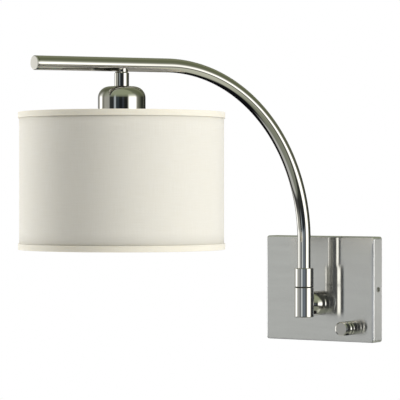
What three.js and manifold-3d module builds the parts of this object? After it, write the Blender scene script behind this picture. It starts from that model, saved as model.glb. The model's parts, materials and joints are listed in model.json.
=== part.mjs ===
// Wall-mounted swing-arm reading lamp with a square back plate, an arched tube arm and a drum shade.
//
// Millimetres, +Z up. The origin is the middle of the back plate's rear face, on the wall. +X is to the
// right of someone who faces the wall and +Y goes into the wall, so the lamp stands out along -Y.
// Three groups hold the pieces: the wall group, the swinging arm group and the dimmer knob group.

import * as THREE from "three";
import { mergeVertices } from "three/addons/utils/BufferGeometryUtils.js";
import Module from "manifold-3d";

const wasm = await Module();
wasm.setup();

// ---------------------------------------------------------------- driving dimensions

const GAP = 0.3; // clearance between pieces that touch

// Back plate: a square-cornered pan, open at the wall
const PLATE_WIDTH = 151;
const PLATE_HEIGHT = 127;
const PLATE_DEPTH = 20;
const PLATE_WALL = 1.6;
const PLATE_CORNER = 3.2; // corner radius seen from the front
const PLATE_EDGE = 1.8; // rounding of the front edges

// Knuckle: a short round base and a dome, on a hollow threaded nipple
const KNUCKLE_Z = -17.8;
const KNUCKLE_RADIUS = 14.6;
const KNUCKLE_BASE_LENGTH = 9.4;
const DOME_LENGTH = 16;
const NIPPLE_RADIUS = 4.85;
const NIPPLE_BORE = 3.2;
const NIPPLE_HOLE = NIPPLE_RADIUS + GAP + 0.05;
const NIPPLE_NUT = 14; // across flats
const NIPPLE_WASHER_RADIUS = 9;
const WASHER_THICKNESS = 1;

// Swivel: a fixed lower body and a turning collar on one vertical axis
const SWIVEL_OUT = 56; // axis to wall
const SWIVEL_RADIUS = 11.75;
const SWIVEL_BOTTOM = -33;
const SWIVEL_SEAM = 2.95;
const SWIVEL_TOP = 25.9;
const SWIVEL_BORE = 8.3;
const COLLAR_RADIUS = SWIVEL_RADIUS - 0.15;
const WASHER_HALF = 0.25;
const PIVOT_RADIUS = 5;
const PIVOT_FOOT = -16;
const PIVOT_NUT_TOP = -9.3;
const PIVOT_NUT_HEIGHT = 4.2;
const COLLAR_SCREW_Z = 17;
const SCREW_RADIUS = 2; // every small machine screw

// Arm: a tube that rises, bends a little over a quarter turn and runs out level
const ARM_TURN = 18.1; // degrees from straight out, towards -X
const TUBE_RADIUS = 7.95;
const TUBE_WALL = 1.25;
const TUBE_FOOT = 8.3;
const BEND_START = 58.9;
const BEND_RADIUS = 203;
const BEND_DEGREES = 91;
const ARM_REACH = 388.7; // axis to the free end
const STEM_REACH = 270.6; // axis to the lamp holder

// Lamp holder: stem, cup and socket, hung below the arm
const STEM_RADIUS = 8.15;
const STEM_NECK = 6.9;
const STEM_SHOULDER = 251;
const CUP_TOP = 236;
const CUP_MOUTH = 178;
const CUP_RADIUS = 26.75;
const CUP_SHOULDER = 12.9;
const CUP_WALL = 1.2;
const CUP_NUT_TOP = 233;
const SOCKET_MOUTH = 160;
const SOCKET_TOP = 218;
const SOCKET_HUB_TOP = 226;
const SOCKET_RADIUS = 19.2;
const SOCKET_CAVITY = 14.3;
const FITTER_Z = 171.1; // middle of the shade fitter's hub
const SCREW_SHELL_RADIUS = 13.9;

// Shade: a 6 inch tall drum
const SHADE_TOP = 207;
const SHADE_BOTTOM = 53;
const FABRIC_RADIUS = 115.1;
const FABRIC_THICKNESS = 0.5;
const LINER_THICKNESS = 0.7;
const TRIM_RADIUS = 116.45;
const TRIM_HEIGHT = 6.7;
const TRIM_THICKNESS = 1;
const RING_RADIUS = 112.2;
const RING_WIRE = 1;
const FITTER_ARMS = 3;
const FITTER_WIRE = 1.6;
const SPOKE_START = 23.8;
const SPOKE_END = 110.3;

// Bulb: a pear-shaped lamp with a 26 mm screw base
const BULB_RADIUS = 30;
const BULB_TIP = 82;
const BULB_NECK = 12.6;
const BULB_NECK_Z = 160;
const BULB_BASE_RADIUS = 12.9;
const BULB_BASE_FOOT = 165;
const BULB_BASE_TOP = 188;

// Dimmer: body behind the plate, bezel nut and knob in front
const DIMMER_X = 44.8;
const DIMMER_Z = -46.4;
const DIMMER_WIDTH = 26;
const DIMMER_HEIGHT = 24;
const DIMMER_BACK = 3.6;
const DIMMER_FRONT = 16.6;
const KNOB_RADIUS = 8.5;
const BEZEL_LENGTH = 8;
const KNOB_FRONT = PLATE_DEPTH + 24.7;
const KNOB_CHAMFER = 0.8;
const SHAFT_RADIUS = 3;

// Mounting strap
const STRAP_HALF_HEIGHT = 20;
const STRAP_THICKNESS = 2;
const EAR_HALF_HEIGHT = 14;
const EAR_DEPTH = 14;
const SIDE_SCREW_OUT = 10;
const BOX_SCREW_SPACING = 88.9; // between the two slots
const WIRE_HOLE_X = 21;
const WIRE_HOLE_RADIUS = 7;
const GROUND_SCREW = [-58, -10];
const LEAD_RADIUS = 1.2;
const WIRE_NUT = [26, 38, 9]; // mouth of the right-hand connector

// Segments round a full circle
const FINE = 60;
const MEDIUM = 30;
const COARSE = 12;

// ---------------------------------------------------------------- materials

function finish(color, metalness, roughness) {
  return new THREE.MeshStandardMaterial({ color, metalness, roughness });
}

const polishedNickel = finish(0xc9c8c2, 1, 0.08);
const brushedNickel = finish(0xb4b4ae, 1, 0.32);
const zincSteel = finish(0xa9acb0, 1, 0.4);
const brass = finish(0xc2a25a, 1, 0.3);
const blackPhenolic = finish(0x1c1b1a, 0, 0.45);
const whitePorcelain = finish(0xefece4, 0, 0.25);
const creamFabric = finish(0xefe9dc, 0, 0.9);
const whiteLiner = finish(0xf5f3ee, 0, 0.6);
const frostedGlass = finish(0xf7f6f2, 0, 0.4);
const whiteEnamel = finish(0xe8e8e4, 0, 0.35);
const greenScrew = finish(0x2f7d46, 0.6, 0.4);
const nylon = finish(0x2a2a2a, 0, 0.6);
const blackInsulation = finish(0x18181a, 0, 0.5);
const whiteInsulation = finish(0xe9e7e0, 0, 0.5);
const greenInsulation = finish(0x2d7b3e, 0, 0.5);
const orangeNut = finish(0xd9792b, 0, 0.45);

// ---------------------------------------------------------------- geometry helpers

// A closed BufferGeometry with only merged positions, ready to be a manifold solid.
function merged(geometry) {
  const bare = geometry.index ? geometry.toNonIndexed() : geometry.clone();
  bare.deleteAttribute("normal");
  bare.deleteAttribute("uv");
  return mergeVertices(bare, 1e-4);
}

function toSolid(geometry) {
  const closed = merged(geometry);
  const mesh = new wasm.Mesh({
    numProp: 3,
    vertProperties: new Float32Array(closed.attributes.position.array),
    triVerts: new Uint32Array(closed.index.array),
  });
  return new wasm.Manifold(mesh);
}

function toGeometry(solid) {
  const mesh = solid.getMesh();
  const geometry = new THREE.BufferGeometry();
  geometry.setAttribute("position", new THREE.BufferAttribute(mesh.vertProperties, 3));
  geometry.setIndex(new THREE.BufferAttribute(mesh.triVerts, 1));
  const flat = geometry.toNonIndexed();
  flat.computeVertexNormals();
  return flat;
}

function cut(geometry, ...tools) {
  let solid = toSolid(geometry);
  for (const tool of tools) solid = solid.subtract(toSolid(tool));
  return toGeometry(solid);
}

function join(...geometries) {
  let solid = toSolid(geometries[0]);
  for (const other of geometries.slice(1)) solid = solid.add(toSolid(other));
  return toGeometry(solid);
}

// Profile points are [radius, height] pairs round the section, turned about +Z.
function turned(points, segments) {
  const profile = points.map(([radius, height]) => new THREE.Vector2(radius, height));
  const geometry = new THREE.LatheGeometry(profile, segments);
  geometry.rotateX(Math.PI / 2);
  return geometry;
}

// A rod about +Z with both end edges chamfered.
function rod(radius, low, high, segments, chamfer = 0) {
  const points = [[0, low]];
  if (chamfer > 0) points.push([radius - chamfer, low]);
  points.push([radius, low + chamfer]);
  points.push([radius, high - chamfer]);
  if (chamfer > 0) points.push([radius - chamfer, high]);
  points.push([0, high]);
  return turned(points, segments);
}

// A ring about +Z with a rectangular section, its outer edges chamfered.
function ring(inner, outer, low, high, segments, lowChamfer = 0, highChamfer = 0) {
  const points = [[inner, low]];
  if (lowChamfer > 0) points.push([outer - lowChamfer, low]);
  points.push([outer, low + lowChamfer]);
  points.push([outer, high - highChamfer]);
  if (highChamfer > 0) points.push([outer - highChamfer, high]);
  points.push([inner, high], [inner, low]);
  return turned(points, segments);
}

// Points on an elliptical arc in the [radius, height] plane, from one angle to another.
function arcPoints(centre, size, fromDegrees, toDegrees, count) {
  return Array.from({ length: count + 1 }, (_, i) => {
    const angle = THREE.MathUtils.degToRad(fromDegrees + ((toDegrees - fromDegrees) * i) / count);
    return [centre[0] + size[0] * Math.cos(angle), centre[1] + size[1] * Math.sin(angle)];
  });
}

// A block given by its low and high corners.
function block(low, high) {
  const size = high.map((value, i) => value - low[i]);
  const geometry = new THREE.BoxGeometry(...size);
  geometry.translate(...low.map((value, i) => value + size[i] / 2));
  return geometry;
}

function roundedRectangle(width, height, radius) {
  const shape = new THREE.Shape();
  const x = width / 2 - radius;
  const y = height / 2 - radius;
  shape.absarc(x, y, radius, 0, Math.PI / 2);
  shape.absarc(-x, y, radius, Math.PI / 2, Math.PI);
  shape.absarc(-x, -y, radius, Math.PI, 1.5 * Math.PI);
  shape.absarc(x, -y, radius, 1.5 * Math.PI, 2 * Math.PI);
  return shape;
}

function extruded(shape, low, high, curveSegments = 4) {
  const geometry = new THREE.ExtrudeGeometry(shape, {
    depth: high - low,
    bevelEnabled: false,
    curveSegments,
  });
  geometry.translate(0, 0, low);
  return geometry;
}

function hexPrism(acrossFlats, low, high) {
  return rod(acrossFlats / Math.sqrt(3), low, high, 6);
}

function circleShape(radius, sides, holeRadius = 0) {
  const corner = (r, i) =>
    new THREE.Vector2(
      r * Math.cos((2 * Math.PI * i) / sides),
      r * Math.sin((2 * Math.PI * i) / sides),
    );
  const shape = new THREE.Shape(Array.from({ length: sides }, (_, i) => corner(radius, i)));
  if (holeRadius > 0) {
    shape.holes.push(new THREE.Path(Array.from({ length: sides }, (_, i) => corner(holeRadius, i))));
  }
  return shape;
}

// A round bar, or a tube when it has a bore, swept along a curve.
function swept(curve, radius, sides, steps, bore = 0) {
  return new THREE.ExtrudeGeometry(circleShape(radius, sides, bore), {
    extrudePath: curve,
    steps,
    curveSegments: 1,
  });
}

function named(name, geometry, material) {
  const mesh = new THREE.Mesh(geometry, material);
  mesh.name = name;
  return mesh;
}

// ---------------------------------------------------------------- the three groups

// Wall group: local x is X, local y is Z and local z is the distance out from the wall.
const wall = new THREE.Group();
wall.rotation.x = Math.PI / 2;

// Arm group: local z is Z on the swivel axis, and local x runs out along the arm.
const arm = new THREE.Group();
arm.position.set(0, -SWIVEL_OUT, 0);
arm.rotation.z = -THREE.MathUtils.degToRad(90 + ARM_TURN);

// Swivel group: upright pieces on the swivel axis that stay with the wall plate.
const post = new THREE.Group();
post.position.copy(arm.position);

// Holder group: upright pieces on the lamp holder's axis, in the arm group.
const holder = new THREE.Group();
holder.position.x = STEM_REACH;
arm.add(holder);

// Dimmer group: pieces on the dimmer's axis, in the wall group.
const dimmer = new THREE.Group();
dimmer.position.set(DIMMER_X, DIMMER_Z, 0);
wall.add(dimmer);

// ---------------------------------------------------------------- back plate and strap

function backplate() {
  const innerWidth = PLATE_WIDTH - 2 * PLATE_WALL;
  const innerHeight = PLATE_HEIGHT - 2 * PLATE_WALL;
  const outline = roundedRectangle(
    PLATE_WIDTH - 2 * PLATE_EDGE,
    PLATE_HEIGHT - 2 * PLATE_EDGE,
    PLATE_CORNER - PLATE_EDGE,
  );
  const shell = new THREE.ExtrudeGeometry(outline, {
    depth: PLATE_DEPTH,
    bevelThickness: PLATE_EDGE,
    bevelSize: PLATE_EDGE,
    bevelSegments: 3,
    curveSegments: 4,
  });
  shell.translate(0, 0, -PLATE_EDGE);
  const behindWall = block([-PLATE_WIDTH, -PLATE_HEIGHT, -PLATE_DEPTH], [PLATE_WIDTH, PLATE_HEIGHT, 0]);
  const hollow = extruded(
    roundedRectangle(innerWidth, innerHeight, PLATE_CORNER - PLATE_WALL),
    -1,
    PLATE_DEPTH - PLATE_WALL,
  );
  const nippleHole = rod(NIPPLE_HOLE, 0, PLATE_DEPTH + 1, COARSE);
  nippleHole.translate(0, KNUCKLE_Z, 0);
  const dimmerHole = rod(NIPPLE_HOLE, 0, PLATE_DEPTH + 1, COARSE);
  dimmerHole.translate(DIMMER_X, DIMMER_Z, 0);
  return cut(shell, behindWall, hollow, nippleHole, dimmerHole, sideHoles(PLATE_WIDTH));
}

// One long rod along X that cuts both side screw holes.
function sideHoles(length) {
  const tool = rod(SCREW_RADIUS + GAP, -length, length, COARSE);
  tool.rotateY(Math.PI / 2);
  tool.translate(0, 0, SIDE_SCREW_OUT);
  return tool;
}

// A flat strap with two upturned ears, slots for the box screws and two round wire holes.
function mountingStrap() {
  const half = PLATE_WIDTH / 2 - PLATE_WALL - 1.3;
  const bar = block([-half, -STRAP_HALF_HEIGHT, 0], [half, STRAP_HALF_HEIGHT, STRAP_THICKNESS]);
  const ears = [-1, 1].map((side) => {
    const low = side < 0 ? -half : half - STRAP_THICKNESS;
    return block([low, -EAR_HALF_HEIGHT, 0], [low + STRAP_THICKNESS, EAR_HALF_HEIGHT, EAR_DEPTH]);
  });
  const slots = [-1, 1].map((side) => {
    const slot = extruded(roundedRectangle(6, 14, 2.9), -1, STRAP_THICKNESS + 1);
    return slot.translate((side * BOX_SCREW_SPACING) / 2, 0, 0);
  });
  const wireHoles = [-1, 1].map((side) => {
    const hole = rod(WIRE_HOLE_RADIUS, -1, STRAP_THICKNESS + 1, COARSE);
    return hole.translate(side * WIRE_HOLE_X, 0, 0);
  });
  const groundHole = rod(SCREW_RADIUS + GAP, -1, STRAP_THICKNESS + 1, COARSE);
  groundHole.translate(...GROUND_SCREW, 0);
  return cut(join(bar, ...ears), ...slots, ...wireHoles, groundHole, sideHoles(PLATE_WIDTH));
}

// A small machine screw along +Z with a low round head and a hexagon socket.
function machineScrew(headRadius, headLow, headHigh, shankLow) {
  const head = rod(headRadius, headLow, headHigh, COARSE, 0.4);
  const shank = rod(SCREW_RADIUS, shankLow, headLow + 0.2, COARSE);
  const socket = hexPrism(2.5, headHigh - 0.8, headHigh + 1);
  return cut(join(head, shank), socket);
}

function sideScrew(side) {
  const screw = machineScrew(2.9, PLATE_WIDTH / 2 + GAP, PLATE_WIDTH / 2 + 1.4, 67);
  screw.rotateY((side * Math.PI) / 2);
  screw.translate(0, 0, SIDE_SCREW_OUT);
  return screw;
}

function groundScrew() {
  const screw = machineScrew(4, STRAP_THICKNESS + GAP, STRAP_THICKNESS + 2.8, 0);
  return screw.translate(...GROUND_SCREW, 0);
}

wall.add(
  named("backplate", backplate(), brushedNickel),
  named("mounting_strap", mountingStrap(), zincSteel),
  named("side_screw_left", sideScrew(-1), polishedNickel),
  named("side_screw_right", sideScrew(1), polishedNickel),
  named("ground_screw", groundScrew(), greenScrew),
);

// ---------------------------------------------------------------- knuckle

function swivelCutter() {
  const cutter = rod(SWIVEL_RADIUS + GAP, -40, 40, MEDIUM);
  cutter.rotateX(Math.PI / 2);
  return cutter.translate(0, 0, SWIVEL_OUT);
}

function knuckleBase() {
  const low = PLATE_DEPTH + GAP;
  return ring(NIPPLE_HOLE, KNUCKLE_RADIUS, low, low + KNUCKLE_BASE_LENGTH, MEDIUM, 0, 0.4);
}

function knuckleDome() {
  const foot = PLATE_DEPTH + KNUCKLE_BASE_LENGTH + 2 * GAP;
  const boreAngle = THREE.MathUtils.radToDeg(Math.acos(NIPPLE_HOLE / KNUCKLE_RADIUS));
  const outside = arcPoints([0, foot], [KNUCKLE_RADIUS, DOME_LENGTH], 0, boreAngle, 7);
  return cut(turned([[NIPPLE_HOLE, foot], ...outside, [NIPPLE_HOLE, foot]], MEDIUM), swivelCutter());
}

function knuckleLockWasher() {
  const top = PLATE_DEPTH - PLATE_WALL - GAP;
  return ring(NIPPLE_HOLE, NIPPLE_WASHER_RADIUS, top - WASHER_THICKNESS, top, COARSE);
}

function knuckleNut() {
  const top = PLATE_DEPTH - PLATE_WALL - WASHER_THICKNESS - 2 * GAP;
  return cut(hexPrism(NIPPLE_NUT, top - 3.6, top), rod(NIPPLE_HOLE, 0, PLATE_DEPTH, COARSE));
}

function onKnuckle(...meshes) {
  for (const mesh of meshes) mesh.position.y = KNUCKLE_Z;
  return meshes;
}

wall.add(
  ...onKnuckle(
    named("knuckle_base", knuckleBase(), polishedNickel),
    named("knuckle_dome", knuckleDome(), polishedNickel),
    named("knuckle_nipple", ring(NIPPLE_BORE, NIPPLE_RADIUS, 9, 47.2, COARSE), brass),
    named("knuckle_lock_washer", knuckleLockWasher(), zincSteel),
    named("knuckle_lock_nut", knuckleNut(), zincSteel),
  ),
);

// ---------------------------------------------------------------- swivel

const BODY_TOP = SWIVEL_SEAM - WASHER_HALF - GAP;
const COLLAR_FOOT = SWIVEL_SEAM + WASHER_HALF + GAP;

function swivelBody() {
  const tube = ring(SWIVEL_BORE, SWIVEL_RADIUS, SWIVEL_BOTTOM, BODY_TOP, MEDIUM, 0.9, 0.2);
  const nippleHole = rod(NIPPLE_HOLE, 0, SWIVEL_RADIUS + 1, COARSE);
  nippleHole.rotateX(-Math.PI / 2);
  nippleHole.translate(0, 0, KNUCKLE_Z);
  return cut(tube, nippleHole);
}

function swivelBushing() {
  return ring(PIVOT_RADIUS + GAP, SWIVEL_BORE - GAP, PIVOT_NUT_TOP + GAP, BODY_TOP, COARSE);
}

// The bore takes the arm tube from above, and the web below it takes the pivot stud.
function swivelCollar() {
  const web = TUBE_FOOT - GAP;
  const bore = TUBE_RADIUS + GAP;
  const profile = [
    [PIVOT_RADIUS + GAP, COLLAR_FOOT],
    [COLLAR_RADIUS, COLLAR_FOOT],
    [COLLAR_RADIUS, SWIVEL_TOP - 0.6],
    [COLLAR_RADIUS - 0.6, SWIVEL_TOP],
    [bore, SWIVEL_TOP],
    [bore, web],
    [PIVOT_RADIUS + GAP, web],
    [PIVOT_RADIUS + GAP, COLLAR_FOOT],
  ];
  const screwHole = rod(SCREW_RADIUS + GAP, 0, COLLAR_RADIUS + 1, COARSE);
  screwHole.rotateY(-Math.PI / 2);
  screwHole.translate(0, 0, COLLAR_SCREW_Z);
  return cut(turned(profile, MEDIUM), screwHole);
}

function collarScrew() {
  const screw = rod(SCREW_RADIUS, TUBE_RADIUS + 0.4, COLLAR_RADIUS - 0.3, COARSE);
  const socket = hexPrism(2, COLLAR_RADIUS - 1.6, COLLAR_RADIUS + 1);
  const geometry = cut(screw, socket);
  geometry.rotateY(-Math.PI / 2);
  return geometry.translate(0, 0, COLLAR_SCREW_Z);
}

function swivelWasher() {
  const outer = SWIVEL_RADIUS - 0.5;
  return ring(PIVOT_RADIUS + GAP, outer, SWIVEL_SEAM - WASHER_HALF, SWIVEL_SEAM + WASHER_HALF, MEDIUM);
}

function pivotNut() {
  const nut = hexPrism(13, PIVOT_NUT_TOP - PIVOT_NUT_HEIGHT, PIVOT_NUT_TOP);
  return cut(nut, rod(PIVOT_RADIUS + GAP, PIVOT_FOOT, 0, COARSE));
}

post.add(
  named("swivel_body", swivelBody(), polishedNickel),
  named("swivel_bushing", swivelBushing(), nylon),
  named("swivel_bottom_cap", rod(SWIVEL_BORE - GAP, -32.4, -30, MEDIUM, 0.4), polishedNickel),
);
arm.add(
  named("swivel_collar", swivelCollar(), polishedNickel),
  named("swivel_washer", swivelWasher(), nylon),
  named("swivel_pivot", ring(NIPPLE_BORE, PIVOT_RADIUS, PIVOT_FOOT, TUBE_FOOT - 0.5, COARSE), zincSteel),
  named("pivot_nut", pivotNut(), zincSteel),
  named("collar_screw", collarScrew(), zincSteel),
);

// ---------------------------------------------------------------- arm

// The arm's centre line: up the swivel axis, round the bend, then straight out.
class ArmLine extends THREE.Curve {
  constructor(from, reach) {
    super();
    this.from = from;
    this.bend = THREE.MathUtils.degToRad(BEND_DEGREES);
    this.rise = BEND_START - from;
    this.arc = BEND_RADIUS * this.bend;
    const bendReach = BEND_RADIUS * (1 - Math.cos(this.bend));
    this.straight = (reach - bendReach) / Math.sin(this.bend);
    this.total = this.rise + this.arc + this.straight;
  }
  getPoint(t, target = new THREE.Vector3()) {
    const along = t * this.total;
    if (along <= this.rise) return target.set(0, 0, this.from + along);
    const turn = Math.min((along - this.rise) / BEND_RADIUS, this.bend);
    const beyond = Math.max(0, along - this.rise - this.arc);
    return target.set(
      BEND_RADIUS * (1 - Math.cos(turn)) + beyond * Math.sin(turn),
      0,
      BEND_START + BEND_RADIUS * Math.sin(turn) + beyond * Math.cos(turn),
    );
  }
}

const END = new ArmLine(TUBE_FOOT, ARM_REACH);
const ARM_AT_STEM = new ArmLine(TUBE_FOOT, STEM_REACH).getPoint(1);

function armTube() {
  const tube = swept(new ArmLine(TUBE_FOOT, ARM_REACH - 2.3), TUBE_RADIUS, 16, 36, TUBE_RADIUS - TUBE_WALL);
  const stemHole = rod(NIPPLE_HOLE, ARM_AT_STEM.z - 12, ARM_AT_STEM.z, COARSE);
  stemHole.translate(STEM_REACH, 0, 0);
  return cut(tube, stemHole);
}

// A round plug with a chamfered face, turned to face along the end of the arm.
function armEndCap() {
  const profile = [
    [0, 0],
    [TUBE_RADIUS - 0.7, 0],
    [TUBE_RADIUS, -0.7],
    [TUBE_RADIUS, -2],
    [TUBE_RADIUS - TUBE_WALL - GAP, -2],
    [TUBE_RADIUS - TUBE_WALL - GAP, -9],
    [0, -9],
  ].reverse();
  const cap = turned(profile, MEDIUM);
  cap.rotateY(THREE.MathUtils.degToRad(BEND_DEGREES));
  const end = END.getPoint(1);
  return cap.translate(end.x, end.y, end.z);
}

function armWire() {
  return swept(new ArmLine(TUBE_FOOT + 3, STEM_REACH - 9), 2.3, 8, 24);
}

arm.add(
  named("arm_tube", armTube(), polishedNickel),
  named("arm_end_cap", armEndCap(), polishedNickel),
  named("arm_wire", armWire(), blackInsulation),
);

// ---------------------------------------------------------------- lamp holder

function tubeCutter() {
  const cutter = rod(TUBE_RADIUS + GAP, -30, 30, MEDIUM);
  cutter.rotateY(THREE.MathUtils.degToRad(BEND_DEGREES));
  return cutter.translate(0, 0, ARM_AT_STEM.z);
}

function stem() {
  const profile = [
    [NIPPLE_HOLE, CUP_TOP + GAP],
    [STEM_RADIUS, CUP_TOP + GAP],
    [STEM_RADIUS, STEM_SHOULDER],
    [STEM_NECK, STEM_SHOULDER + 1.3],
    [STEM_NECK, ARM_AT_STEM.z],
    [NIPPLE_HOLE, ARM_AT_STEM.z],
    [NIPPLE_HOLE, CUP_TOP + GAP],
  ];
  return cut(turned(profile, MEDIUM), tubeCutter());
}

function socketCup() {
  const centre = CUP_RADIUS - CUP_SHOULDER;
  const inner = CUP_SHOULDER - CUP_WALL;
  const outside = arcPoints([centre, CUP_TOP - CUP_SHOULDER], [CUP_SHOULDER, CUP_SHOULDER], 0, 90, 6);
  const inside = arcPoints([centre, CUP_TOP - CUP_SHOULDER], [inner, inner], 90, 0, 4);
  const profile = [
    [CUP_RADIUS - CUP_WALL, CUP_MOUTH],
    [CUP_RADIUS, CUP_MOUTH],
    ...outside,
    [NIPPLE_HOLE, CUP_TOP],
    [NIPPLE_HOLE, CUP_TOP - CUP_WALL],
    ...inside,
    [CUP_RADIUS - CUP_WALL, CUP_MOUTH],
  ];
  return turned(profile, MEDIUM);
}

function cupWasher() {
  const top = CUP_TOP - CUP_WALL - GAP;
  return ring(NIPPLE_HOLE, NIPPLE_WASHER_RADIUS, CUP_NUT_TOP + GAP, top, COARSE);
}

function cupNut() {
  const top = CUP_NUT_TOP;
  return cut(hexPrism(NIPPLE_NUT, top - 4, top), rod(NIPPLE_HOLE, top - 10, CUP_TOP, COARSE));
}

// The porcelain body: open mouth below, flange for the shade, and a hub above for the nipple.
function socketBody() {
  const profile = [
    [SOCKET_CAVITY, SOCKET_MOUTH],
    [SOCKET_RADIUS, SOCKET_MOUTH],
    [SOCKET_RADIUS, FITTER_Z + 1.3],
    [SOCKET_RADIUS + 3.3, FITTER_Z + 1.3],
    [SOCKET_RADIUS + 3.3, FITTER_Z + 4.3],
    [SOCKET_RADIUS, FITTER_Z + 4.3],
    [SOCKET_RADIUS, SOCKET_TOP - 4],
    [SOCKET_RADIUS - 4, SOCKET_TOP],
    [9, SOCKET_TOP],
    [9, SOCKET_HUB_TOP],
    [NIPPLE_HOLE, SOCKET_HUB_TOP],
    [NIPPLE_HOLE, SOCKET_TOP - 22],
    [SOCKET_CAVITY, SOCKET_TOP - 22],
    [SOCKET_CAVITY, SOCKET_MOUTH],
  ];
  return turned(profile, MEDIUM);
}

function screwShell() {
  const inner = SCREW_SHELL_RADIUS - 0.6;
  return ring(inner, SCREW_SHELL_RADIUS, SOCKET_MOUTH + 2, BULB_BASE_TOP + 2, MEDIUM);
}

function bulbGlass() {
  const middle = BULB_TIP + BULB_RADIUS;
  const ball = arcPoints([0, middle], [BULB_RADIUS, BULB_RADIUS], -90, 32, 9);
  const [shoulderRadius, shoulderZ] = ball[ball.length - 1];
  const taper = [1, 2, 3, 4].map((i) => {
    const share = i / 5;
    const ease = (1 - Math.cos(Math.PI * share)) / 2;
    return [
      shoulderRadius + (BULB_NECK - shoulderRadius) * (0.35 * share + 0.65 * ease),
      shoulderZ + (BULB_NECK_Z - shoulderZ) * share,
    ];
  });
  ball[0][0] = 0;
  const top = BULB_BASE_FOOT - GAP;
  return turned([...ball, ...taper, [BULB_NECK, BULB_NECK_Z], [BULB_NECK, top], [0, top]], MEDIUM);
}

function bulbInsulator() {
  const foot = BULB_BASE_TOP + GAP;
  const tip = foot + 2.3;
  return turned([[0, foot], [9, foot], [4, tip], [0, tip]], COARSE);
}

// The spring contact at the top of the screw shell.
function socketContact() {
  const foot = BULB_BASE_TOP + 3.2;
  return rod(4, foot, foot + 1.4, COARSE);
}

holder.add(
  named("stem", stem(), polishedNickel),
  named("stem_nipple", ring(NIPPLE_BORE, NIPPLE_RADIUS, 222, ARM_AT_STEM.z + 1.5, COARSE), brass),
  named("socket_cup", socketCup(), polishedNickel),
  named("cup_washer", cupWasher(), zincSteel),
  named("cup_nut", cupNut(), zincSteel),
  named("socket_body", socketBody(), whitePorcelain),
  named("socket_screw_shell", screwShell(), brass),
  named("socket_contact", socketContact(), brass),
  named("bulb_base", rod(BULB_BASE_RADIUS, BULB_BASE_FOOT, BULB_BASE_TOP, MEDIUM, 1.5), zincSteel),
  named("bulb_insulator", bulbInsulator(), blackPhenolic),
  named("bulb_glass", bulbGlass(), frostedGlass),
);

// ---------------------------------------------------------------- shade

const INNER_EDGE = TRIM_THICKNESS + GAP; // how far the cloth stops short of the trim's outer edge
const FABRIC_INSIDE = FABRIC_RADIUS - FABRIC_THICKNESS;
const LINER_RADIUS = FABRIC_INSIDE - GAP;
const RING_TOP_Z = SHADE_TOP - INNER_EDGE - RING_WIRE;
const RING_BOTTOM_Z = SHADE_BOTTOM + INNER_EDGE + RING_WIRE;
const TRIM_INSIDE = RING_RADIUS - RING_WIRE - GAP;

function wireRing(z) {
  const torus = new THREE.TorusGeometry(RING_RADIUS, RING_WIRE, 6, FINE);
  return torus.translate(0, 0, z);
}

// The line of one fitter spoke, from the hub's rim to just inside the top ring.
function spokeLine(index) {
  const angle = (2 * Math.PI * index) / FITTER_ARMS + Math.PI / 3;
  const slope = (RING_TOP_Z - FITTER_Z) / (RING_RADIUS - SPOKE_START);
  const pointAt = (radius) =>
    new THREE.Vector3(
      radius * Math.cos(angle),
      radius * Math.sin(angle),
      FITTER_Z + slope * (radius - SPOKE_START),
    );
  return new THREE.LineCurve3(pointAt(SPOKE_START), pointAt(SPOKE_END));
}

const spokeNumbers = Array.from({ length: FITTER_ARMS }, (_, i) => i);

function fitterSpoke(index, radius = FITTER_WIRE) {
  return swept(spokeLine(index), radius, 8, 1);
}

function fitterHub() {
  return ring(SOCKET_RADIUS + GAP, SPOKE_START - 1, FITTER_Z - 1, FITTER_Z + 1, MEDIUM);
}

// A folded tape: outer leg, fold over the rim, and a shorter inner leg. side is 1 on top, -1 below.
function trimBand(side) {
  const edge = side > 0 ? SHADE_TOP : SHADE_BOTTOM;
  const at = (depth) => edge - side * depth;
  const legInside = FABRIC_RADIUS + GAP;
  const profile = [
    [TRIM_RADIUS, at(TRIM_HEIGHT)],
    [TRIM_RADIUS, at(0)],
    [TRIM_INSIDE - 0.8, at(0)],
    [TRIM_INSIDE - 0.8, at(5.5)],
    [TRIM_INSIDE, at(5.5)],
    [TRIM_INSIDE, at(TRIM_THICKNESS)],
    [legInside, at(TRIM_THICKNESS)],
    [legInside, at(TRIM_HEIGHT)],
    [TRIM_RADIUS, at(TRIM_HEIGHT)],
  ];
  return turned(side > 0 ? profile : profile.reverse(), FINE);
}

// The top trim is notched where the spokes pass.
function topTrim() {
  return cut(trimBand(1), ...spokeNumbers.map((i) => fitterSpoke(i, FITTER_WIRE + GAP)));
}

const clothLow = SHADE_BOTTOM + INNER_EDGE;
const clothHigh = SHADE_TOP - INNER_EDGE;

function drum(inner, outer) {
  return ring(inner, outer, clothLow, clothHigh, FINE);
}

function clampRing() {
  return ring(SOCKET_RADIUS + GAP, 22.9, FITTER_Z - 5, FITTER_Z - 1 - GAP, MEDIUM, 0.6, 0);
}

holder.add(
  named("fitter_hub", fitterHub(), whiteEnamel),
  ...spokeNumbers.map((i) => named(`fitter_spoke_${i + 1}`, fitterSpoke(i), whiteEnamel)),
  named("shade_top_wire", wireRing(RING_TOP_Z), whiteEnamel),
  named("shade_clamp_ring", clampRing(), blackPhenolic),
  named("shade_bottom_wire", wireRing(RING_BOTTOM_Z), whiteEnamel),
  named("shade_liner", drum(LINER_RADIUS - LINER_THICKNESS, LINER_RADIUS), whiteLiner),
  named("shade_fabric", drum(FABRIC_INSIDE, FABRIC_RADIUS), creamFabric),
  named("shade_trim_top", topTrim(), creamFabric),
  named("shade_trim_bottom", trimBand(-1), creamFabric),
);

// ---------------------------------------------------------------- dimmer

function dimmerBody() {
  const outline = roundedRectangle(DIMMER_WIDTH, DIMMER_HEIGHT, 2);
  return cut(extruded(outline, DIMMER_BACK, DIMMER_FRONT), rod(SHAFT_RADIUS + GAP, 8, 20, COARSE));
}

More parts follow.
